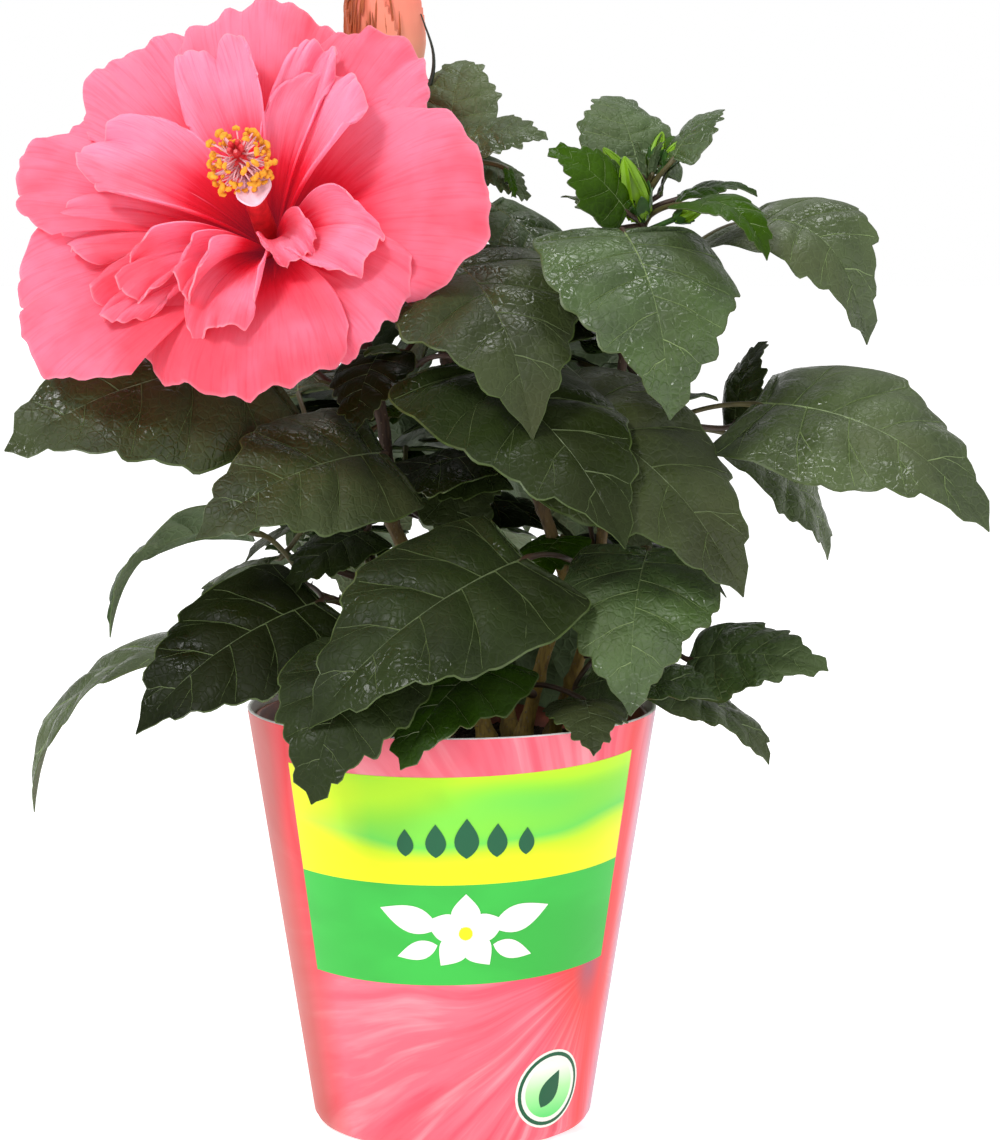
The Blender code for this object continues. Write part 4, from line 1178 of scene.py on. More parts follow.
def add_decal(pile, angle, height, outline, kind, lift):
    """A flat shape wrapped on the sleeve: an outline of (across, up) offsets round its middle."""
    outline = np.array(outline, float)
    middle = outline.mean(axis=0)
    layers = []
    for depth in (lift, -LABEL_LIFT):
        grid = [middle + (outline - middle) * ring / DECAL_RINGS for ring in range(1, DECAL_RINGS + 1)]
        flat = np.concatenate([[middle], np.concatenate(grid)])
        high = height + flat[:, 1]
        across = angle + np.degrees(flat[:, 0] / sleeve_radius(high))
        layers.append(on_sleeve(across, high, depth))
    around, size = len(outline), len(layers[0])
    index = np.arange(1, size).reshape(DECAL_RINGS, around)
    index = np.concatenate([index, index[:, :1]], axis=1)
    fan = np.stack([np.zeros(around, int), index[0, :-1], index[0, 1:]], axis=1)
    ring_quads = quads(index)[:, ::-1]
    edge = np.stack([index[-1, 1:], index[-1, :-1], index[-1, :-1] + size, index[-1, 1:] + size], axis=1)
    faces = [fan, ring_quads, (fan + size)[:, ::-1], (ring_quads + size)[:, ::-1], edge]
    pile.add(np.concatenate(layers), faces, kind)


def round_outline(radius, points=40):
    turns = 2 * math.pi * np.arange(points) / points
    return np.stack([radius * np.cos(turns), radius * np.sin(turns)], axis=1)


def leaf_outline(length, width, turn, away):
    """A simple pointed oval, its base some way off the middle along its turn."""
    share = np.linspace(0, 1, LEAF_SIDE_POINTS, endpoint=False)
    half = width / 2 * np.sin(math.pi * share ** 0.8)
    out = np.stack([away + length * share, -half], axis=1)
    back = np.stack([away + length * (1 - share), width / 2 * np.sin(math.pi * (1 - share) ** 0.8)], axis=1)
    flat = np.concatenate([out, back])
    slope = math.radians(turn)
    turning = np.array([[math.cos(slope), math.sin(slope)], [-math.sin(slope), math.cos(slope)]])
    return flat @ turning


def label_finish(name, first, second):
    """Printed gloss: two inks that cloud into each other."""
    made, tree, shader = finish(name, first, 0.4, Specular_IOR_Level=0.2)
    clouds = noise(tree, placed(tree, (0.5, 1, 1), mapped=True), 55, 2, 0.4)
    inks = blend(tree, ranged(tree, clouds, 0, 1, 0.4, 0.62), first, second)
    dressed(tree, shader, inks, paper_grain(tree))
    return made


def paper_grain(tree):
    """The fine relief of a printed label."""
    return noise(tree, placed(tree), 900, 2), 0.1, 0.0001


def lime_finish(lime):
    """The upper band: yellow at its foot and left, a green rise across its middle, lime above."""
    made, tree, shader = finish("label_lime", lime, 0.35, Specular_IOR_Level=0.25)
    flat = placed(tree, mapped=True)
    clouds = noise(tree, placed(tree, (0.3, 1, 1), 12, mapped=True), 36, 1)
    level = calc(tree, "ADD", ranged(tree, part_of(tree, flat, "Y"), 0, 1, 0.088, 0.124),
                 ranged(tree, clouds, -0.22, 0.22, 0.35, 0.65))
    tone = ramp(tree, level, [*LIME_BELOW, (LIME_PLACE, lime), (1.0, LIME_TOP)])
    left = ranged(tree, part_of(tree, flat, "X"), 0.9, 0, 0.0, 0.03)
    dressed(tree, shader, blend(tree, left, tone, LABEL_YELLOW), paper_grain(tree))
    return made


def badge_finish():
    """The badge's disc: nearly white above, bright green below."""
    made, tree, shader = finish("label_mint", BADGE_GREENS[1][1], 0.35)
    level = ranged(tree, part_of(tree, placed(tree), "Z"), 0, 1, 0.009, 0.027)
    dressed(tree, shader, ramp(tree, level, BADGE_GREENS), paper_grain(tree))
    return made


def build_label(sizes, colours):
    """A lime and green panel with a plain blossom and leaves, and a round badge with a leaf."""
    bands, motifs = Pile(), Pile()
    label_band(bands, LABEL_TOP, LABEL_DIVIDE, 0)
    label_band(bands, LABEL_DIVIDE, LABEL_FOOT, 1)
    green = tuple(colours.label_green)
    lime = lime_finish(tuple(colours.lime))
    finishes = [lime, label_finish("label_green", green, shaded(green, 1.12))]
    make_piece("label_panel", bands, finishes)
    add_blossom(motifs, (LABEL_LEFT + LABEL_RIGHT) / 2)
    for radius, kind, lift in BADGE_DISCS:
        add_decal(motifs, BADGE_ANGLE, BADGE_HEIGHT, round_outline(radius), kind, lift)
    add_decal(motifs, BADGE_ANGLE, BADGE_HEIGHT, leaf_outline(*BADGE_LEAF, -BADGE_LEAF[0] / 2), 2, 0.42)
    white = label_finish("label_white", *LABEL_WHITES)
    dark = label_finish("label_dark", *LABEL_DARKS)
    make_piece("label_motifs", motifs, [white, lime, dark, badge_finish()])


def add_blossom(pile, middle):
    """A five-petalled blossom with leaves beside it, and a row of drops above."""
    for turn in SIDE_LEAF_TURNS:
        for size, slope, lift in ((UPPER_SIDE_LEAF, turn, 0.3), (LOWER_SIDE_LEAF, -turn, 0.28)):
            add_decal(pile, middle, SIDE_LEAF_HEIGHT, leaf_outline(*size, slope, SIDE_LEAF_START), 0, lift)
    for petal in range(5):
        outline = leaf_outline(*BLOSSOM_PETAL, 90 + 72 * petal, BLOSSOM_START)
        add_decal(pile, middle, BLOSSOM_HEIGHT, outline, 0, 0.3 + petal * 0.02)
    add_decal(pile, middle, BLOSSOM_HEIGHT, round_outline(BLOSSOM_EYE, 20), 1, 0.5)
    for step in range(-2, 3):
        size = DROP_WIDTH - abs(step) * 1.2
        outline = leaf_outline(size * 1.7, size, 90, -size * 0.8)
        add_decal(pile, middle + step * DROP_SPACING, DROP_HEIGHT - abs(step) * 0.7, outline, 2, 0.3)


def soil_bed():
    """The lumpy top of the soil, from the rim in."""
    inner = SLEEVE_WALL + NURSERY_CLEARANCE + NURSERY_WALL
    edge = sleeve_radius(SOIL_TOP) - inner - SOIL_CLEARANCE + SOIL_OVERLAP
    radius = edge * np.linspace(1, 0, SOIL_RINGS)[:, None]
    turn = 2 * math.pi * np.arange(SOIL_COLUMNS + 1) / SOIL_COLUMNS
    x, y = radius * np.cos(turn), radius * np.sin(turn)
    lumps = 0.9 * np.sin(x * 0.31 + 1.7) * np.sin(y * 0.27 + 0.4)
    lumps += 0.5 * np.sin(x * 0.83) * np.sin(y * 0.71 + 2)
    lumps += 0.25 * np.sin(x * 1.9 + y) * np.sin(y * 2.3 - x * 0.6) - 0.6
    return np.stack([x, y, SOIL_TOP + lumps], axis=-1)


def soil_finish(soil):
    made, tree, shader = finish("peat", soil, 0.95, Specular_IOR_Level=0.2)
    grain = noise(tree, placed(tree), 380, 6)
    tone = ramp(tree, grain, [(0.35, shaded(soil, 0.5)), (0.55, soil), (0.68, shaded(soil, 2.6))])
    dressed(tree, shader, tone, (grain, 0.9, 0.0015))
    return made


def build_soil(sizes, colours):
    """The soil with its crumbs, grains of perlite and bits of bark."""
    peat = soil_finish(tuple(colours.soil))
    top = soil_bed()
    bed, host = Pile(), Pile()
    add_shell(bed, top, UP * SOIL_DEPTH, (0, 0, 0))
    make_piece("soil_bed", bed, [peat], ["soil"], weld=True)
    host.add(top, [quads(numbered(*top.shape[:2]))])
    gap = sizes.crumb_spacing
    white = plain_plant_finish("perlite", PERLITE_WHITE, 0.9)
    brown = plain_plant_finish("bark_bits", BARK_BIT_BROWN, 0.9)
    strewn("soil_crumbs", host, lump(0.9, 0.35), gap, CRUMB_SIZES, peat, SEED, 1.0)
    strewn("perlite", host, lump(0.7, 0.3), gap * PERLITE_GAP, BIT_SIZES, white, SEED + 1, 1.0)
    strewn("bark_bits", host, splinter(), gap * BARK_BIT_GAP, BIT_SIZES, brown, SEED + 2, 1.0)


# Things strewn over a surface by Geometry Nodes

STREWING = (
    ("Surface", "NodeSocketGeometry"), ("Shape", "NodeSocketObject"), ("Spacing", "NodeSocketFloat"),
    ("Density", "NodeSocketFloat"), ("Smallest", "NodeSocketFloat"), ("Largest", "NodeSocketFloat"),
    ("Tumble", "NodeSocketVector"), ("Seed", "NodeSocketInt"), ("Finish", "NodeSocketMaterial"),
)


@functools.cache
def strewing_tree():
    """Spreads a shape over a surface, each copy at its own size and turn, as one real mesh."""
    tree = bpy.data.node_groups.new("Strew", "GeometryNodeTree")
    for name, kind in STREWING:
        tree.interface.new_socket(name, in_out="INPUT", socket_type=kind)
    tree.interface.new_socket("Strewn", in_out="OUTPUT", socket_type="NodeSocketGeometry")
    given = tree.nodes.new("NodeGroupInput").outputs
    spread = node(tree, "GeometryNodeDistributePointsOnFaces",
                  {"Mesh": given["Surface"], "Distance Min": given["Spacing"],
                   "Density Max": given["Density"], "Seed": given["Seed"]}, distribute_method="POISSON")
    shape = node(tree, "GeometryNodeObjectInfo", {"Object": given["Shape"]}).outputs["Geometry"]
    size = node(tree, "FunctionNodeRandomValue", {"Seed": given["Seed"]})
    join(tree, given["Smallest"], size.inputs[2])
    join(tree, given["Largest"], size.inputs[3])
    flip = node(tree, "ShaderNodeVectorMath", {0: given["Tumble"]}, operation="SCALE")
    flip.inputs["Scale"].default_value = -1
    tumble = node(tree, "FunctionNodeRandomValue", {"Seed": given["Seed"]}, data_type="FLOAT_VECTOR")
    join(tree, flip.outputs["Vector"], tumble.inputs[0])
    join(tree, given["Tumble"], tumble.inputs[1])
    turned = node(tree, "FunctionNodeRotateRotation", {"Rotation": spread.outputs["Rotation"]},
                  rotation_space="LOCAL")
    euler = node(tree, "FunctionNodeEulerToRotation", {"Euler": tumble.outputs[0]})
    join(tree, euler.outputs["Rotation"], turned.inputs["Rotate By"])
    copies = node(tree, "GeometryNodeInstanceOnPoints",
                  {"Points": spread.outputs["Points"], "Instance": shape,
                   "Rotation": turned.outputs["Rotation"], "Scale": size.outputs[1]})
    real = node(tree, "GeometryNodeRealizeInstances", {"Geometry": copies.outputs["Instances"]})
    done = node(tree, "GeometryNodeSetMaterial", {"Geometry": real.outputs["Geometry"],
                                                  "Material": given["Finish"]})
    end = tree.nodes.new("NodeGroupOutput")
    tree.links.new(done.outputs["Geometry"], end.inputs["Strewn"])
    return tree


def strewn(name, host, shape, spacing, sizes, material, seed, lean):
    """A piece made of copies of a shape, spread over a host surface; spacing is in metres."""
    surface, copied = (linked(f"{name}_{part}", pile_mesh(f"{name}_{part}", pile))
                       for part, pile in (("host", host), ("shape", shape)))
    tree = strewing_tree()
    values = {"Shape": copied, "Spacing": spacing, "Density": 3 / spacing**2, "Smallest": sizes[0],
              "Largest": sizes[1], "Tumble": (lean * math.pi, lean * math.pi, math.pi), "Seed": seed,
              "Finish": material}
    modifier = surface.modifiers.new("Strew", "NODES")
    modifier.node_group = tree
    for item in tree.interface.items_tree:
        if item.in_out == "INPUT" and item.name in values:
            modifier[item.identifier] = values[item.name]
    graph = bpy.context.evaluated_depsgraph_get()
    mesh = bpy.data.meshes.new_from_object(surface.evaluated_get(graph), depsgraph=graph)
    mesh.name = name
    surface.modifiers.clear()
    for used in (surface, copied):
        bpy.data.objects.remove(used, do_unlink=True)
    if not mesh.polygons:
        raise RuntimeError(f"nothing was strewn for {name}")
    mesh.shade_smooth()
    return add_piece(name, mesh)


def lump(radius, roughness):
    """A crumb: a small ball pushed out of round."""
    form = bmesh.new()
    bmesh.ops.create_icosphere(form, subdivisions=1, radius=radius)
    points = np.array([vertex.co for vertex in form.verts])
    faces = [np.array([[vertex.index for vertex in face.verts] for face in form.faces])]
    form.free()
    push = 1 + roughness * np.sin(points @ np.array([5.1, 3.3, 7.7]) * 2)
    pile = Pile()
    pile.add(points * push[:, None] * (1.1, 0.9, 0.8), faces)
    return pile


def tube_shape(path, radii, sides, up=None, flatness=1.0):
    """A tube that is a pile of its own."""
    pile = Pile()
    add_tube(pile, path, radii, sides, up=up, flatness=flatness)
    return pile


def splinter():
    """A flat bit of bark."""
    half, thin = BARK_BIT_LENGTH / 2, BARK_BIT_RADIUS * 0.3
    path = [(-half, 0, 0), (0, 0.3, 0.1), (half, 0, 0)]
    return tube_shape(path, [thin, BARK_BIT_RADIUS, thin], 5, up=UP, flatness=0.5)


# The shrub's own rule: where every twig and leaf stands

@functools.cache
def grown_stems():
    """Each stem's path and radii, as the solids have them."""
    stems = {}
    for name, (corners, foot_radius, tip_radius) in STEMS.items():
        path = evenly(smooth_path(corners, CURVE_STEPS), STEM_STEP)
        radii = np.linspace(foot_radius, tip_radius, len(path))
        above = (path[:, 2] - path[0, 2]) / FLARE_HEIGHT
        radii *= 1 + FLARE_GROWTH * np.clip(1 - above, 0, 1) ** 2
        stems[name] = (path, radii)
    return stems


def stem_point(stem, height):
    """The centre and the radius of a stem at a height."""
    path, radii = stem
    centre = np.array([np.interp(height, path[:, 2], path[:, axis]) for axis in range(3)])
    return centre, np.interp(height, path[:, 2], radii)


def twig_path(stem, height, tip):
    """A twig's line: it begins just clear of its stem's bark."""
    centre, radius = stem_point(stem, height)
    tip = np.array(tip, float)
    way = unit(tip - centre)
    path = stem[0]
    slope = unit(np.array([np.interp(height, path[:, 2], np.gradient(path, axis=0)[:, axis])
                           for axis in range(3)]))
    lean = abs(way @ slope)
    out = (radius + GAP + TWIG_RADIUS * lean) / math.sqrt(1 - min(lean, 0.9) ** 2)
    if height >= path[-1, 2]:
        out = GAP + TWIG_RADIUS * math.sqrt(1 - lean**2)
    return np.array([centre + way * out, (centre + way * out + tip) / 2, tip])


def spray_paths(spray, stem, rng):
    """The spray's own stem and two side twigs that fork from it."""
    centre, _ = stem_point(stem, spray.height)
    tip = centre + towards(spray.heading, spray.rise) * spray.length
    paths = [twig_path(stem, spray.height, tip)]
    for way in (-1, 1):
        turn = spray.heading + way * rng.uniform(*FORK_TURN)
        root = point_at(paths[0], rng.uniform(*FORK_SHARE))
        rise = spray.rise + rng.uniform(*FORK_LIFT)
        end = root + towards(turn, rise) * spray.length * FORK_LENGTH
        paths.append(np.array([root, (root + end) / 2, end]))
    return paths


def spray_leaves(spray, rng):
    """Leaves dealt round a spray: each turns on from the last, and hangs a little."""
    leaves = []
    for number in range(spray.leaves * TRIES):
        turn = (number * GOLDEN_TURN) % FAN - FAN / 2 + spray.heading
        leaves.append(Leaf(
            share=rng.uniform(0.3, 1),
            heading=turn,
            rise=rng.uniform(*STALK_RISE),
            reach=rng.uniform(*STALK_REACH),
            turn=turn + rng.uniform(*LEAF_TURN),
            pitch=rng.uniform(*LEAF_PITCH),
            length=spray.blade * rng.uniform(*LEAF_SIZE),
            roll=rng.uniform(*LEAF_TURN),
            arch=rng.uniform(*LEAF_ARCH),
        ))
    return leaves


def place_leaf(leaf, start, swing=(0, 0)):
    """Where a blade begins and how it lies; a swing turns it by some degrees."""
    base = start + towards(leaf.heading, leaf.rise) * leaf.reach
    along = towards(leaf.turn + swing[0], leaf.pitch + swing[1])
    level = unit(np.cross(along, UP))
    face = unit(np.cross(level, along))
    roll = math.radians(leaf.roll)
    up = face * math.cos(roll) + np.cross(along, face) * math.sin(roll)
    return Place(base, along, up, np.cross(along, up))


def blade_point(leaf, place, x, side):
    """Points of the blade at shares x of its length and shares of its half width."""
    x, side = np.broadcast_arrays(np.asarray(x, float), np.asarray(side, float))
    half = leaf.length * leaf.width / 2
    fold = math.radians(leaf.fold)
    bow = leaf.arch * leaf.length * 4 * x * (1 - x)
    lift = half * (math.sin(fold) * np.abs(side) - CURL * side**2)
    return (place.base + place.along * (x * leaf.length)[..., None]
            + place.across * (half * math.cos(fold) * side)[..., None] + place.up * (bow + lift)[..., None])


def half_width(u):
    """The outline's half width along the blade, 1 where it is widest."""
    narrowing = BASE_ROUNDING * (1 - WIDEST_AT) / WIDEST_AT
    return (u / WIDEST_AT) ** BASE_ROUNDING * ((1 - u) / (1 - WIDEST_AT)) ** narrowing


def swings():
    """Turns of a leaf, nearest first, in the order in which they are tried."""
    yield (0, 0)
    for ring in range(1, SWING_RINGS + 1):
        for way in range(SWING_DIRECTIONS):
            angle = 2 * math.pi * way / SWING_DIRECTIONS
            yield (ring * SWING_STEP * math.sin(angle), ring * SWING_STEP * math.cos(angle))


@functools.cache
def solid_surface(node_name):
    """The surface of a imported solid, in millimetres."""
    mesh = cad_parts[node_name].data
    points = [vertex.co / MM for vertex in mesh.vertices]
    return BVHTree.FromPolygons(points, [tuple(face.vertices) for face in mesh.polygons])


def stands(leaf, place, surface):
    """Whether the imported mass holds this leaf: its tip and its widest points lie on the solid."""
    wide = half_width(FIT_STATION) * (1 + FIT_TOOTH)
    for x, side in ((1, 0), (FIT_STATION, wide), (FIT_STATION, -wide)):
        if surface.find_nearest(blade_point(leaf, place, x, side), FIT_WITHIN)[0] is None:
            return False
    return True


@functools.cache
def grown_shrub():
    """Every twig's path by mass, and every leaf that the solids hold."""
    rng = random.Random(SEED)
    stems = grown_stems()
    paths, leaves, grown = {}, {}, []
    for name, twig in TWIGS.items():
        paths[name] = [twig_path(stems[twig.stem], twig.height, twig.tip)]
        leaves[name] = LEAVES[name]
    for name, spray in SPRAYS.items():
        paths[name] = spray_paths(spray, stems[spray.stem], rng)
        leaves[name] = spray_leaves(spray, rng)
    for name, twigs in paths.items():
        for number, path in enumerate(twigs):
            for rank, leaf in enumerate(leaves[name][number::len(twigs)]):
                start = point_at(path, leaf.share)
                for swing in swings():
                    place = place_leaf(leaf, start, swing)
                    if stands(leaf, place, solid_surface(name)):
                        grown.append(Grown(name, leaf, place, start, rank))
                        break
    for name, leaf in EXTRA_LEAVES:
        start = point_at(paths[name][0], leaf.share)
        grown.append(Grown(name, leaf, place_leaf(leaf, start), start, 0))
    return paths, grown


# Leaves

def vein_phase(u, side):
    """How many side veins lie behind u: the right side's leave the midrib a little later."""
    return np.interp(u, VEIN_STATIONS, np.arange(len(VEIN_STATIONS))) - VEIN_LAG * (side > 0)


def vein_stations(way):
    """Where the side veins of one side leave the midrib."""
    lag = VEIN_LAG * (way > 0)
    return np.interp(np.arange(len(VEIN_STATIONS) - 1) + lag, np.arange(len(VEIN_STATIONS)), VEIN_STATIONS)


def teeth_at(u, side, shift):
    """How far the edge stands out at u: rounded teeth that lean forward, of unlike sizes."""
    ahead = TEETH_PER_VEIN * vein_phase(u, side) + TOOTH_CREST
    size = 0.7 + 0.4 * np.sin(np.floor(ahead) * 2.4 + shift)
    tooth = np.sin(math.pi * (ahead % 1) ** 1.35) ** 0.6 * size
    return tooth * np.clip((u - TEETH_FROM) * 5, 0, 1) * np.clip((0.99 - u) * 16, 0, 1)


@functools.cache
def blade_stations(coarse=False):
    """Shares along the blade, with a row of points under every side vein."""
    if coarse:
        return np.array(SMALL_ROWS)
    even = 0.004 + 0.993 * np.linspace(0, 1, BLADE_ROWS) ** 1.12
    veins = np.concatenate([vein_stations(-1), vein_stations(1)])
    nearest = np.abs(even[:, None] - veins).min(axis=1)
    return np.unique(np.concatenate([even[nearest > 0.006], veins]))


def outline_width(u, shift):
    """Half widths of one leaf's own outline: some tips are blunter than others."""
    blunt = BLUNTNESS * (0.5 + 0.5 * math.sin(shift * 5))
    return half_width(u) * ((1 - WIDEST_AT) / (1 - u)) ** blunt


def leaf_surface(leaf, place, u, side, sizes, shift):
    """The blade with its teeth, its swells between the veins and its waving edge."""
    u, side = np.broadcast_arrays(np.asarray(u, float), np.asarray(side, float))
    away = np.abs(side)
    edge = u - LOBE * np.sin(math.pi * np.minimum(u / LOBE_SPAN, 1))
    depth = sizes.tooth_depth * (60 / leaf.length) ** 0.75
    tooth = teeth_at(u, side, shift + np.sign(side)) * depth * away**4
    x = u**VEIN_SWEEP + (edge - u**VEIN_SWEEP) * away * (1 - VEIN_CURVE * (1 - away)) + tooth * 0.3
    width = outline_width(u, shift) * 0.94 + tooth
    points = blade_point(leaf, place, x, side * width)
    points = points + place.across * (SWAY * math.sin(shift * 2.7) * leaf.length * x**2)[..., None]
    between = np.abs(np.sin(math.pi * vein_phase(u, side))) ** 0.7
    open_part = np.clip(4 * away * (1 - away), 0, 1) ** 0.6
    narrow = np.clip(width * 1.3, 0, 1)
    swell = sizes.blade_swell * leaf.length * (between - 0.35) * open_part * narrow
    puckers = np.sin(u * 47 + shift + away * 9) * np.sin(away * 19 + shift * 2 + u * 13)
    puckers = 0.006 * leaf.length * puckers * open_part * between * narrow
    waves = 0.024 * leaf.length * away**3 * np.sin(u * 13 + shift * 3 + side) * narrow
    bend = -0.06 * leaf.length * np.clip((u - 0.7) / 0.3, 0, 1) ** 2
    return points + place.up * (swell + puckers + waves + bend)[..., None]


def add_blade(pile, leaf, place, green, sizes, shift, sides=BLADE_SIDES, coarse=False):
    """A closed blade: its green top, its underside and a pale margin."""
    across = np.concatenate([-np.array(sides[:0:-1]), sides])
    grid = leaf_surface(leaf, place, blade_stations(coarse)[:, None], across[None, :], sizes, shift)
    offset = sheet_normals(grid) * (sizes.blade_thickness / MM)
    add_shell(pile, grid, offset, (green, len(GREENS), len(GREENS) + 1), edge=len(GREENS) + 1)


def add_veins(pile, leaf, place, sizes, shift, kind):
    """The midrib and the side veins, standing a little out of both sides of the blade."""
    width = sizes.vein_width / MM / 2 * (leaf.length / 80) ** 0.7
    sunk = place.up * (sizes.blade_thickness / MM * 0.35)
    u = blade_stations()[:-2:2]
    line = leaf_surface(leaf, place, u, np.zeros_like(u), sizes, shift) - sunk
    add_tube(pile, line, width * (1.05 - 0.8 * u), VEIN_SIDES, kind, up=place.up)
    for way in (-1, 1):
        stations = vein_stations(way)
        for station, after in zip(stations, [*stations[1:], 0.98]):
            for begin, drift in ((0, 0), (FORK_FROM, FORK_DRIFT)):
                side = np.array([share for share in BLADE_SIDES[:-2] if share >= begin])
                run = station + (after - station) * drift * (side - begin)
                run = run + 0.004 * np.sin(side * 11 + station * 31 + shift) * side
                slim = width * (0.7 - 0.3 * station) * (1.05 - 0.65 * side) * (1 - 0.35 * (drift > 0))
                line = leaf_surface(leaf, place, run, way * side, sizes, shift) - sunk
                add_tube(pile, line, slim, VEIN_SIDES, kind, place.up, SIDE_VEIN_FLATNESS)


def add_petiole(pile, leaf, place, start, kind):
    """A leaf stalk, thicker where it joins the twig and the blade."""
    sunk = blade_point(leaf, place, SUNK_SHARE, 0) - place.up * 0.5
    way = unit(place.base - start)
    steps = max(6, round(np.linalg.norm(place.base - start) / 2))
    end = place.base - place.up * 0.3
    path = bent_path(start, (way + 0.5 * UP) * 0.8, end, (place.along + way) * 0.4, steps)
    path.append(sunk)
    share = np.linspace(0, 1, len(path))
    radii = PETIOLE_RADIUS * (1 + 0.5 * np.exp(-share * 12) + 0.35 * np.exp(-((share - 0.93) * 14) ** 2))
    radii[-1] *= 0.5
    add_tube(pile, path, radii, PETIOLE_SIDES, kind)


def shade_of(grown):
    """The green of a leaf: its own, or the next of its mass's."""
    shades = SHADES.get(grown.mass, USUAL_SHADES)
    return grown.leaf.shade or shades[grown.number % len(shades)]


@functools.cache
def leaf_finishes():
    colours = bpy.context.scene.shrub_colours
    # One finish for each green; painted-light and painted-shade copies of the leaf green are among them.
    made = [leaf_finish(f"leaf_{name}", tuple(getattr(colours, name)), gloss)
            for name, gloss in GREENS.items()]
    made.append(underside_finish(tuple(colours.under)))
    made.append(plain_plant_finish("leaf_margin", MARGIN_GREEN, 0.45))
    return made


@functools.cache
def stalk_finishes():
    colours = bpy.context.scene.shrub_colours
    return [plain_plant_finish("green_stalk", GREEN_STALK, 0.5),
            plain_plant_finish("brown_stalk", shaded(colours.bark, 0.8), 0.55)]


def build_foliage(sizes, colours):
    """The blades, the veins, and the stalks and twigs of each group of masses."""
    paths, grown = grown_shrub()
    vein = [plain_plant_finish("leaf_vein", tuple(colours.vein), 0.45),
            plain_plant_finish("pale_vein", tuple(colours.pale_vein), 0.45)]
    for piece, masses in FOLIAGE.items():
        blades, veins, stalks = Pile(), Pile(), Pile()
        for number, each in enumerate(grown):
            if each.mass not in masses:
                continue
            shift = number * 1.9
            # The green dealt here is the leaf's own green, a painted-light copy of it, or a painted-shade
            # copy of it.
            shade = shade_of(each)
            add_blade(blades, each.leaf, each.place, list(GREENS).index(shade), sizes, shift)
            # Veins of lit and sky-sheened leaves take the pale green as painted light; young leaves' veins
            # are pale of their own.
            add_veins(veins, each.leaf, each.place, sizes, shift, int(shade in PALE_VEINED))
            add_petiole(stalks, each.leaf, each.place, each.start, number % 2)
        for mass in masses:
            for path in paths[mass]:
                add_twig(stalks, mass, path)
        make_piece(piece, blades, leaf_finishes(), masses)
        make_piece(piece.replace("foliage", "veins"), veins, vein, crease=80)
        make_piece(piece.replace("foliage", "twigs"), stalks, stalk_finishes())


def add_twig(pile, mass, path):
    """A twig from inside its stem to its tip, with a few joints."""
    stem = grown_stems()[(TWIGS.get(mass) or SPRAYS[mass]).stem]
    centre, _ = stem_point(stem, path[0][2])
    root = path[0] if np.linalg.norm(centre - path[0]) > 8 else centre
    line = evenly(smooth_path([root, *path[1:]], CURVE_STEPS), TWIG_STEP)
    share = np.linspace(0, 1, len(line))
    joints = 1 + 0.16 * np.exp(-((np.sin(share * math.pi * 4)) * 5) ** 2)
    add_tube(pile, line, TWIG_RADIUS * (1 - (1 - TWIG_TAPER) * share) * joints, TWIG_SIDES, 1)


# Fine shoots

def small_leaves(tip, heading, surface, rng):
    """A shoot's leaves, without any that would stand far out of the mass."""
    leaves = []
    for number in range(SMALL_LEAVES):
        turn = heading + (number - 1) * SMALL_LEAF_FAN + rng.uniform(-20, 20)
        leaf = Leaf(1, turn, rng.uniform(0, 40), rng.uniform(2, 4), turn, rng.uniform(-20, 40),
                    rng.uniform(*SMALL_LEAF), rng.uniform(-20, 20), 0.1, 16, 0.6)
        place = place_leaf(leaf, tip)
        if surface.find_nearest(blade_point(leaf, place, 1, 0), SHOOT_KEEP)[0] is not None:
            leaves.append((leaf, place))
    return leaves


def shoot_plans():
    """Short shoots off every twig, each with its small leaves."""
    rng = random.Random(SEED + 5)
    for mass, twigs in grown_shrub()[0].items():
        for path in [twig for twig in twigs for _ in range(SHOOTS_PER_TWIG)]:
            root = point_at(path, rng.uniform(0.3, 1))
            way = unit(path[-1] - path[0])
            turn = rng.choice((-1, 1)) * rng.uniform(*SHOOT_TURN)
            heading = math.degrees(math.atan2(way[1], way[0])) + turn
            rise = rng.uniform(*SHOOT_RISE)
            tip = root + towards(heading, rise) * rng.uniform(*SHOOT_LENGTH)
            leaves = small_leaves(tip, heading, solid_surface(mass), rng)
            if leaves:
                yield mass, root, tip, leaves


def build_shoots(sizes, colours):
    """Fine twigs with small young leaves, and the stipules at the leaf stalks' feet."""
    blades, stalks = Pile(), Pile()
    for number, (mass, root, tip, leaves) in enumerate(shoot_plans()):
        line = smooth_path([root, (root + tip) / 2 + UP * 0.6, tip], 4)
        add_tube(stalks, line, np.linspace(*SHOOT_RADII, len(line)), 6)
        for leaf, place in leaves:
            # Crown shoots take the young leaves' own green; the other shoots take the green that paints light
            # coming through the blade.
            green = list(GREENS).index("young" if mass == "crown_leaves" else "painted_backlit")
            add_blade(blades, leaf, place, green, sizes, number * 1.3, SMALL_SIDES, coarse=True)
            add_tube(stalks, [tip, (tip + place.base) / 2, place.base], SMALL_STALK, 5)
    for each in grown_shrub()[1]:
        way = unit(each.place.base - each.start)
        for side in (-1, 1):
            beside = unit(np.cross(way, UP)) * side
            foot = each.start + beside * 0.8
            tip = foot + (beside * 0.9 + UP * 0.8 + way * 0.5) * STIPULE_LENGTH * 0.6
            add_tube(stalks, [foot, (foot + tip) / 2 + UP * 0.4, tip], STIPULE_RADII, 4)
    make_piece("shoot_leaves", blades, leaf_finishes())
    make_piece("shoot_twigs", stalks, stalk_finishes())


# Stems

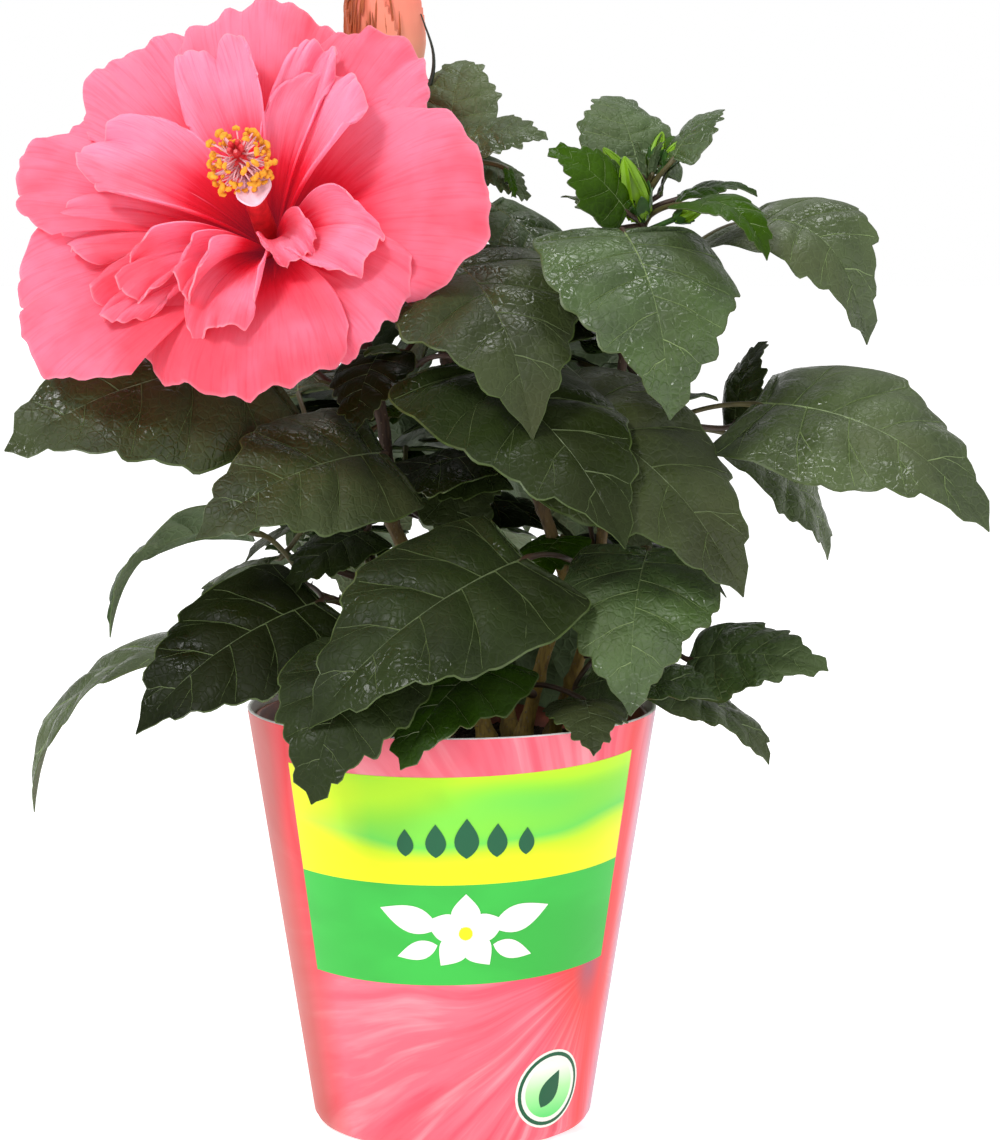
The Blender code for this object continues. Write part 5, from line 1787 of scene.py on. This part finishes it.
def bark_radii(radii, length, sizes, shift):
    """Ring radii with long ridges, knobs and the scars of fallen leaves."""
    turn = 2 * math.pi * np.arange(BARK_SIDES) / BARK_SIDES
    s, a = length[:, None], turn[None, :]
    relief = 0.5 * np.sin(BARK_RIDGES * a + 0.12 * s + shift) + 0.3 * np.sin(3 * a - 0.31 * s + 2 * shift)
    relief += 0.35 * np.sin(0.9 * s + 2 * a) * np.sin(0.37 * s + shift)
    scar_turn = np.floor(s / SCAR_SPACING) * math.radians(GOLDEN_TURN) + shift
    near = np.exp(-((s % SCAR_SPACING - SCAR_SPACING / 2) / 1.6) ** 2)
    scars = near * (0.12 + 0.32 * np.exp(-(np.sin((a - scar_turn) / 2) / 0.45) ** 2))
    return radii[:, None] * (1 + sizes.bark_relief * relief + scars)


def build_stems(sizes, colours):
    """The stems in their bark, rooted in the soil and strewn with lenticels."""
    barks = Pile()
    for number, (path, radii) in enumerate(grown_stems().values()):
        rooted = np.concatenate([[path[0] - unit(path[1] - path[0]) * ROOT_DEPTH], path])
        thick = np.concatenate([[radii[0] * 1.1], radii])
        line = evenly(smooth_path(rooted, CURVE_STEPS), BARK_STEP)
        share = along_path(line)
        knots = along_path(rooted)
        fine = np.interp(share / share[-1], knots / knots[-1], thick)
        add_tube(barks, line, bark_radii(fine, share, sizes, number * 2.1), BARK_SIDES)
    bark = bark_finish(tuple(colours.bark), tuple(colours.green_bark))
    make_piece("stem_bark", barks, [bark], list(STEMS))
    pale = plain_plant_finish("lenticels", LENTICEL_TAN, 0.8)
    strewn("lenticels", barks, lump(0.28, 0.1), LENTICEL_SPACING, LENTICEL_SIZES, pale, SEED + 3, 0.2)


# The large bloom

def bloom_frame():
    """The bloom's throat, the way it faces, and its right and upward directions."""
    axis = towards(BLOOM_HEADING, BLOOM_RISE)
    right = unit(np.cross(UP, axis))
    return np.array(BLOOM_THROAT, float), axis, right, np.cross(axis, right)


def spokes(right, above, angle):
    """Directions out of the bloom's axis, one at each angle."""
    return right * np.cos(angle)[..., None] + above * np.sin(angle)[..., None]


def petal_grid(petal, sizes, roundness, number):
    """A petal as a fine grid: a fan from the throat that opens, laps its neighbour and ruffles."""
    throat, axis, right, above = bloom_frame()
    inner = roundness == INNER_ROUNDNESS
    t = PETAL_START + (1 - PETAL_START) * np.linspace(0, 1, PETAL_ROWS)[:, None]
    across = np.linspace(-1, 1, PETAL_COLUMNS)[None, :]
    angle = np.radians(petal.angle + petal.spread * across * (1.08 - roundness * t**4))
    lobed = np.abs(np.sin(math.pi * (LOBES * across + 0.37 * number))) ** 0.6 - 0.75
    lobed = 1 + (LOBE_DEPTH * (1 + inner) * lobed + 0.018 * np.sin(4.1 * across + number)) * t**3
    nicks = 0.008 * np.sin(19 * across + number * 1.3) + 0.0025 * np.sin(41 * across + number)
    lobed = lobed + nicks * t**8
    shoulder = 1 - (PETAL_SHOULDER + roundness * 0.75) * np.abs(across) ** 2.6
    reach = petal.length * t * shoulder * lobed
    deepest = petal.rim + petal.reflex + THROAT_DEPTH
    rise = deepest * (1 - (1 - t) ** 2) - THROAT_DEPTH - petal.reflex * t**3
    rise = rise + petal.length * t * math.sin(math.radians(petal.twist)) * across / 2
    rise = rise + (petal.cup * petal.length * across**2 * t**2 if inner else PETAL_LAP * across * t**1.5)
    rise = rise + ruffles(petal, sizes, across, t, number)
    grid = throat + spokes(right, above, angle) * reach[..., None] + axis * rise[..., None]
    spots = np.stack(np.broadcast_arrays((across + 1) / 2 + number, t), axis=-1)
    return grid, spots


def ruffles(petal, sizes, across, t, number):
    """Waves of a petal: broad ones, smaller ones towards its rim, a fold and a rolled rim."""
    waves = petal.waves * math.pi
    frill = sizes.petal_frill / MM
    rise = petal.ruffle * t**3 * np.sin(waves * across + petal.angle)
    rise = rise + frill * t**5 * np.sin(2.1 * waves * across + number * 1.7 + 1.5 * np.sin(3 * across))
    rise = rise + 0.4 * frill * t**8 * np.sin(4.7 * waves * across + number * 2.9)
    rise = rise + 0.4 * t**2 * np.sin(11 * across + 13 * t + number)
    fold = np.exp(-((across - 0.4 * math.sin(number * 2.3)) / 0.06) ** 2)
    rise = rise - 1.1 * fold * 4 * t * (1 - t)
    return rise - 1.8 * np.clip((t - 0.9) / 0.1, 0, 1) ** 2


def add_petal(pile, grid, sizes, spots=None):
    add_shell(pile, grid, sheet_normals(grid) * (sizes.petal_thickness / MM), (0, 0, 0), spots=spots)


def build_petals(sizes, colours):
    """Every petal of the double bloom, each a piece of its own."""
    number = 0
    for ring, petals, roundness, rim, paler in PETAL_RINGS:
        made = petal_finish(f"{ring}_petals", colours, rim, paler)
        for petal in petals:
            number += 1
            pile = Pile()
            grid, spots = petal_grid(petal, sizes, roundness, number)
            add_petal(pile, grid, sizes, spots)
            make_piece(f"{ring}_petal_{number}", pile, [made], ["large_bloom"], crease=70)


def build_column(sizes, colours):
    """The red column from the bloom's core to its five stigma pads."""
    throat, axis, right, above = bloom_frame()
    red = plain_plant_finish("column_red", COLUMN_RED, 0.4)
    back = throat - axis * (THROAT_DEPTH + CORE_LENGTH / 2)
    head = throat + axis * COLUMN_LENGTH
    column = Pile()
    share = np.linspace(0, 1, 30)
    line = back + (head - back) * share[:, None]
    add_tube(column, line, COLUMN_RADIUS * (1.25 - 0.45 * share), 20)
    add_tube(column, [back, back + axis * CORE_LENGTH / 2, back + axis * CORE_LENGTH],
             [CORE_RADIUS - 1, CORE_RADIUS, CORE_RADIUS - 1.5], 20)
    root = head - axis
    for pad in range(STIGMA_PADS):
        turn = 2 * math.pi * pad / STIGMA_PADS
        out = right * math.cos(turn) + above * math.sin(turn)
        add_tube(column, [root + out * away + axis * on for away, on in STIGMA_PATH], STIGMA_RADII, 8)
    make_piece("column", column, [red])


def build_anthers(sizes, colours):
    """The anthers round the column's head, on their pale filaments."""
    throat, axis, _, _ = bloom_frame()
    head = throat + axis * COLUMN_LENGTH
    top = head - axis * ANTHER_LENGTH
    path = [top, top + axis * ANTHER_LENGTH / 2, head - axis, head + axis * 0.6, head + axis]
    radii = [COLUMN_RADIUS * share for share in (0.9, 0.86, 0.8, 0.5)] + [0.3]
    host = tube_shape(path, radii, 16)
    pale = plain_plant_finish("filament_pink", FILAMENT_PINK, 0.5)
    gold = plain_plant_finish("pollen", tuple(colours.anther), 0.7, 900, 0.0004)
    for name, shape, made in (("filaments", tube_shape(*FILAMENT, 5), pale),
                              ("anthers", tube_shape(*POLLEN_TIP, 7), gold)):
        strewn(name, host, shape, sizes.anther_spacing, ANTHER_SIZES, made, SEED + 4, 0.1)


def build_flap(sizes, colours):
    """A small pale petal that sits against the anthers, below and to the right."""
    throat, axis, right, above = bloom_frame()
    head = throat + axis * COLUMN_LENGTH
    t = np.linspace(0, 1, 16)[:, None]
    across = np.linspace(-1, 1, 20)[None, :]
    angle = np.radians(-56 + 46 * across * (1 - 0.3 * t**2))
    reach = 2.6 + (11.2 - 1.6 * across) * t * (1 - 0.25 * np.abs(across) ** 2.5)
    rise = -9 + 1.5 * t**1.4 + 0.7 * np.sin(5 * across) * t + 1.2 * across**2
    grid = head + spokes(right, above, angle) * reach[..., None] + axis * rise[..., None]
    pile = Pile()
    add_petal(pile, grid, sizes)
    pale = plain_plant_finish("pale_petal", FLAP_PINK, 0.5, 150, 0.0005)
    make_piece("column_petal", pile, [pale])


# The furled bloom, the cups and the buds

def furled_finish(furled):
    """Pale above and redder below, with brown streaks that gather on the left."""
    made, tree, shader = finish("furled_petals", furled, 0.55, Specular_IOR_Level=0.25)
    place = placed(tree)
    streaks = noise(tree, placed(tree, (1, 1, 0.12)), 420, 3)
    left = ranged(tree, part_of(tree, place, "X"), 0.42, -0.4, -0.034, -0.016)
    level = calc(tree, "ADD", ranged(tree, part_of(tree, place, "Z"), 0, 1, 0.332, 0.362),
                 ranged(tree, noise(tree, place, 60, 2), -0.3, 0.3))
    tone = blend(tree, level, furled, FURLED_RED)
    brown = ranged(tree, calc(tree, "ADD", streaks, left), 0, 0.9, 0.5, 0.85)
    dressed(tree, shader, blend(tree, brown, tone, FURLED_BROWN), (streaks, 0.4, 0.0006))
    return made


def furled_run():
    """Shares of the furled bloom's length, its axis at each and its radius there."""
    base, tip = np.array(FURLED_BASE, float), np.array(FURLED_TIP, float)
    share = np.concatenate([np.linspace(0, 1, 70)[:-1], np.linspace(1, FURLED_END, 12)])
    radii = np.interp(share, [*np.linspace(0, 1, len(FURLED_RADII)), *FURLED_CLOSE[0]],
                      [*FURLED_RADII, *FURLED_CLOSE[1]])
    return share, base + (tip - base) * share[:, None], radii


def build_furled(sizes, colours):
    """Petals rolled shut, lapping each other as they wind round."""
    share, line, radii = furled_run()
    turn = 2 * math.pi * np.arange(FURLED_SIDES) / FURLED_SIDES
    wind = (turn[None, :] * FURLED_PLEATS / (2 * math.pi) + FURLED_TWIST * share[:, None]) % 1
    pleat = 0.91 + 0.12 * wind**1.3
    crinkle = 0.006 * np.sin(turn[None, :] * 17 + share[:, None] * 21) * share[:, None]
    pile = tube_shape(line, radii[:, None] * (pleat + crinkle), FURLED_SIDES)
    made = furled_finish(tuple(colours.furled))
    make_piece("furled_petals", pile, [made], ["furled_bloom"])


def build_strands(sizes, colours):
    """Brown strands down the furled bloom's left."""
    base, tip = np.array(FURLED_BASE, float), np.array(FURLED_TIP, float)
    share, _, radii = furled_run()
    strands = Pile()
    rng = random.Random(SEED + 6)
    for _ in range(STRANDS):
        side, low = rng.gauss(STRAND_SIDE, STRAND_SPREAD), rng.uniform(0.25, 0.8)
        shares = np.linspace(low, min(0.98, low + rng.uniform(0.12, 0.3)), len(STRAND_RADII))
        sway = np.radians(side + rng.uniform(-25, 25) * (shares - low) / 0.2 * 0.3)
        out = np.stack([np.cos(sway), np.sin(sway), 0 * sway], axis=1)
        away = np.interp(shares, share, radii)[:, None]
        add_tube(strands, base + (tip - base) * shares[:, None] + out * away * 0.99, STRAND_RADII, 5)
    brown = plain_plant_finish("furled_strands", STRAND_BROWN, 0.5)
    make_piece("furled_strands", strands, [brown])


def add_sepals(pile, foot, way, length, radius, count, spread, kind):
    """Pointed green lobes round a cup or a bud."""
    guide = carried(np.array([way]))[0]
    beside = np.cross(way, guide)
    for number in range(count):
        turn = 2 * math.pi * number / count
        out = guide * math.cos(turn) + beside * math.sin(turn)
        side = np.cross(way, out)
        t = np.linspace(0, SEPAL_END, 12)[:, None]
        across = np.linspace(-1, 1, 7)[None, :]
        half = radius * 1.9 * math.sin(math.pi / count) * (1 - t) ** 0.7 * (0.7 + t)
        bulge = radius * (1 + spread * t**1.5) * np.sin(np.clip(t * 2.2 + 0.5, 0, math.pi / 2))
        grid = (foot + way * (length * t)[..., None] + out * (bulge - 0.12 * half * across**2)[..., None]
                + side * (half * across)[..., None])
        add_shell(pile, grid, sheet_normals(grid) * -SEPAL_THICKNESS, (kind,) * 3)


def build_cups(sizes, colours):
    """Each bloom's stalk, its green cup with five lobes and the slim bracts under it."""
    throat, axis, _, _ = bloom_frame()
    base, tip = np.array(FURLED_BASE, float), np.array(FURLED_TIP, float)
    way = unit(tip - base)
    core_back = throat - axis * (THROAT_DEPTH + CORE_LENGTH / 2 + GAP)
    green = plain_plant_finish("cup_green", CUP_GREEN, 0.5)
    dark = plain_plant_finish("bract_dark", BRACT_DARK, 0.5)
    cups = (("bloom_calyx", "bloom_cup", "left_stem", core_back, axis),
            ("furled_calyx", "furled_cup", "mid_stem", base - way * GAP, way))
    for name, node_name, stem, face, facing in cups:
        path, _ = grown_stems()[stem]
        tip_way = unit(path[-1] - path[-2])
        neck = face - facing * CUP_LENGTH
        line = bent_path(path[-1] - tip_way, tip_way, neck, facing, 24)
        pile = Pile()
        add_tube(pile, line, np.linspace(STALK_RADIUS, STALK_RADIUS * 1.25, len(line)), 12)
        share = np.linspace(0, 1, 12)
        add_tube(pile, neck + facing * (CUP_LENGTH * share)[:, None],
                 STALK_RADIUS + (CUP_RADIUS - STALK_RADIUS) * np.sin(share * math.pi / 2) ** 0.8, 24)
        add_sepals(pile, neck + facing * 5, facing, CUP_LENGTH + 4, CUP_RADIUS * 0.95, CUP_LOBES, 0.25, 0)
        add_sepals(pile, neck + facing * 2, facing, CUP_LENGTH * 0.7, CUP_RADIUS * 0.6, CUP_BRACTS, 1.0, 0)
        if stem == "mid_stem":
            add_tube(pile, smooth_path(FURLED_BRACT, 6), np.linspace(1.1, 0.2, 19), 8, 1)
        make_piece(name, pile, [green, dark], [node_name], crease=60)


def build_buds(sizes, colours):
    """Buds wrapped in pointed sepals, with slim bracts at their feet."""
    lime = plain_plant_finish("bud_lime", BUD_LIME, 0.5, 130)
    dark = plain_plant_finish("bud_dark", BUD_DARK, 0.45)
    crown = grown_shrub()[0]["crown_leaves"][0]
    pile = Pile()
    for bud in BUDS:
        start = point_at(crown, bud.share)
        way = towards(bud.heading, bud.rise)
        foot = start + way * bud.stalk
        add_tube(pile, [start, (start + foot) / 2, foot], [0.9, 0.9, 1.0], 8, 1)
        share = np.linspace(0, 1, 16)
        radii = bud.radius * np.sin(np.clip(share * 1.25 + 0.1, 0, 1) ** 0.8 * math.pi) ** 0.8 + 0.25
        add_tube(pile, foot + way * (bud.length * 0.78 * share)[:, None], radii * (1 - 0.8 * share**2), 15, 0)
        add_sepals(pile, foot, way, bud.length * 1.2, bud.radius * 0.95, CUP_LOBES, -1.0, 0)
        add_sepals(pile, foot - way, way, bud.length * 0.6, bud.radius * 0.8, CUP_BRACTS, 0.7, 1)
    make_piece("flower_buds", pile, [lime, dark], crease=60)


# Studio

def build_stage(sizes, colours):
    """A pale floor, soft studio light and the camera."""
    scene = bpy.context.scene
    scene.view_settings.view_transform = "Standard"
    reach = FLOOR_REACH
    mesh = bpy.data.meshes.new("floor")
    mesh.from_pydata([(-reach, -reach, 0), (reach, -reach, 0), (reach, reach, 0), (-reach, reach, 0)], [],
                     [(0, 1, 2, 3)])
    mesh.materials.append(finish("pale_floor", FLOOR_WHITE, 0.8, Specular_IOR_Level=0.1,
                                 Emission_Color=(1, 1, 1, 1), Emission_Strength=FLOOR_GLOW)[0])
    linked("floor", mesh)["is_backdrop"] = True
    world = bpy.data.worlds.new("studio")
    world.use_nodes = True
    tree = world.node_tree
    height = part_of(tree, tree.nodes.new("ShaderNodeTexCoord").outputs["Generated"], "Z")
    sky = ramp(tree, height, [(0.15, 1.0), (0.5, OVERHEAD_SKY)])
    tree.links.new(sky, tree.nodes["Background"].inputs["Color"])
    scene.world = world
    for name, (place, size, power) in LAMPS.items():
        lamp = bpy.data.lights.new(name, "AREA")
        lamp.size = size
        lamp.energy = power
        holder = linked(name, lamp)
        holder.location = place
        holder.rotation_euler = direction_euler(np.array(LAMP_AIM) - np.array(place))
    lens = bpy.data.cameras.new("camera")
    lens.lens = CAMERA_LENS
    camera = linked("camera", lens)
    camera.location = CAMERA_PLACE
    camera.rotation_euler = (math.radians(CAMERA_PITCH), 0, 0)
    scene.camera = camera


def direction_euler(way):
    """The turn that points a lamp's -Z along a direction."""
    level = math.hypot(way[0], way[1])
    return (math.atan2(level, -way[2]), 0, math.atan2(-way[0], way[1]))


# Operators

class BuildStep:
    """What every building operator shares: it hands the sizes and colours to its own builders."""
    bl_options = {"REGISTER", "UNDO"}
    builders = ()

    def execute(self, context):
        for builder in self.builders:
            builder(context.scene.shrub_sizes, context.scene.shrub_colours)
        return {"FINISHED"}


class SHRUB_OT_pot(BuildStep, bpy.types.Operator):
    """Builds the printed sleeve and the nursery pot in it"""
    bl_idname = "shrub.pot"
    bl_label = "Pot"
    builders = (build_sleeve, build_nursery_pot)


class SHRUB_OT_label(BuildStep, bpy.types.Operator):
    """Builds the label panel, its plain motifs and the badge"""
    bl_idname = "shrub.label"
    bl_label = "Label"
    builders = (build_label,)


class SHRUB_OT_soil(BuildStep, bpy.types.Operator):
    """Builds the soil with its crumbs"""
    bl_idname = "shrub.soil"
    bl_label = "Soil"
    builders = (build_soil,)


class SHRUB_OT_stems(BuildStep, bpy.types.Operator):
    """Builds the stems with their bark"""
    bl_idname = "shrub.stems"
    bl_label = "Stems"
    builders = (build_stems,)


class SHRUB_OT_foliage(BuildStep, bpy.types.Operator):
    """Builds every leaf with its veins, stalk and twig"""
    bl_idname = "shrub.foliage"
    bl_label = "Foliage"
    builders = (build_foliage,)


class SHRUB_OT_shoots(BuildStep, bpy.types.Operator):
    """Builds the fine shoots with small leaves and the stipules"""
    bl_idname = "shrub.shoots"
    bl_label = "Fine shoots"
    builders = (build_shoots,)


class SHRUB_OT_bloom(BuildStep, bpy.types.Operator):
    """Builds the large bloom's petals, column and anthers"""
    bl_idname = "shrub.bloom"
    bl_label = "Large bloom"
    builders = (build_petals, build_column, build_anthers, build_flap)


class SHRUB_OT_furled(BuildStep, bpy.types.Operator):
    """Builds the furled bloom"""
    bl_idname = "shrub.furled"
    bl_label = "Furled bloom"
    builders = (build_furled, build_strands)


class SHRUB_OT_cups(BuildStep, bpy.types.Operator):
    """Builds the green cups, the blooms' stalks and the buds"""
    bl_idname = "shrub.cups"
    bl_label = "Cups and buds"
    builders = (build_cups, build_buds)


class SHRUB_OT_stage(BuildStep, bpy.types.Operator):
    """Sets up the floor, the light and the camera"""
    bl_idname = "shrub.stage"
    bl_label = "Stage"
    builders = (build_stage,)


OPERATORS = (SHRUB_OT_stage, SHRUB_OT_pot, SHRUB_OT_label, SHRUB_OT_soil, SHRUB_OT_stems,
             SHRUB_OT_foliage, SHRUB_OT_shoots, SHRUB_OT_bloom, SHRUB_OT_furled, SHRUB_OT_cups)


class SHRUB_PT_panel(bpy.types.Panel):
    """Lists the building steps with their sizes and colours"""
    bl_label = "Potted shrub"
    bl_space_type = "VIEW_3D"
    bl_region_type = "UI"
    bl_category = "Shrub"

    def draw(self, context):
        for group in (context.scene.shrub_sizes, context.scene.shrub_colours):
            box = self.layout.box()
            for name in group.__annotations__:
                box.prop(group, name)
        for operator in OPERATORS:
            self.layout.operator(operator.bl_idname)


CLASSES = (ShrubSizes, ShrubColours, *OPERATORS, SHRUB_PT_panel)


def register():
    for each in CLASSES:
        bpy.utils.register_class(each)
    bpy.types.Scene.shrub_sizes = PointerProperty(type=ShrubSizes)
    bpy.types.Scene.shrub_colours = PointerProperty(type=ShrubColours)


def unregister():
    del bpy.types.Scene.shrub_colours
    del bpy.types.Scene.shrub_sizes
    for each in reversed(CLASSES):
        bpy.utils.unregister_class(each)


def main():
    register()
    for operator in OPERATORS:
        group, name = operator.bl_idname.split(".")
        getattr(getattr(bpy.ops, group), name)()
    boxes = {"cad": CAD_BOX, "visual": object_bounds()}
    {name: [list(corner) for corner in box] for name, box in boxes.items()}


if __name__ == "__main__":
    main()
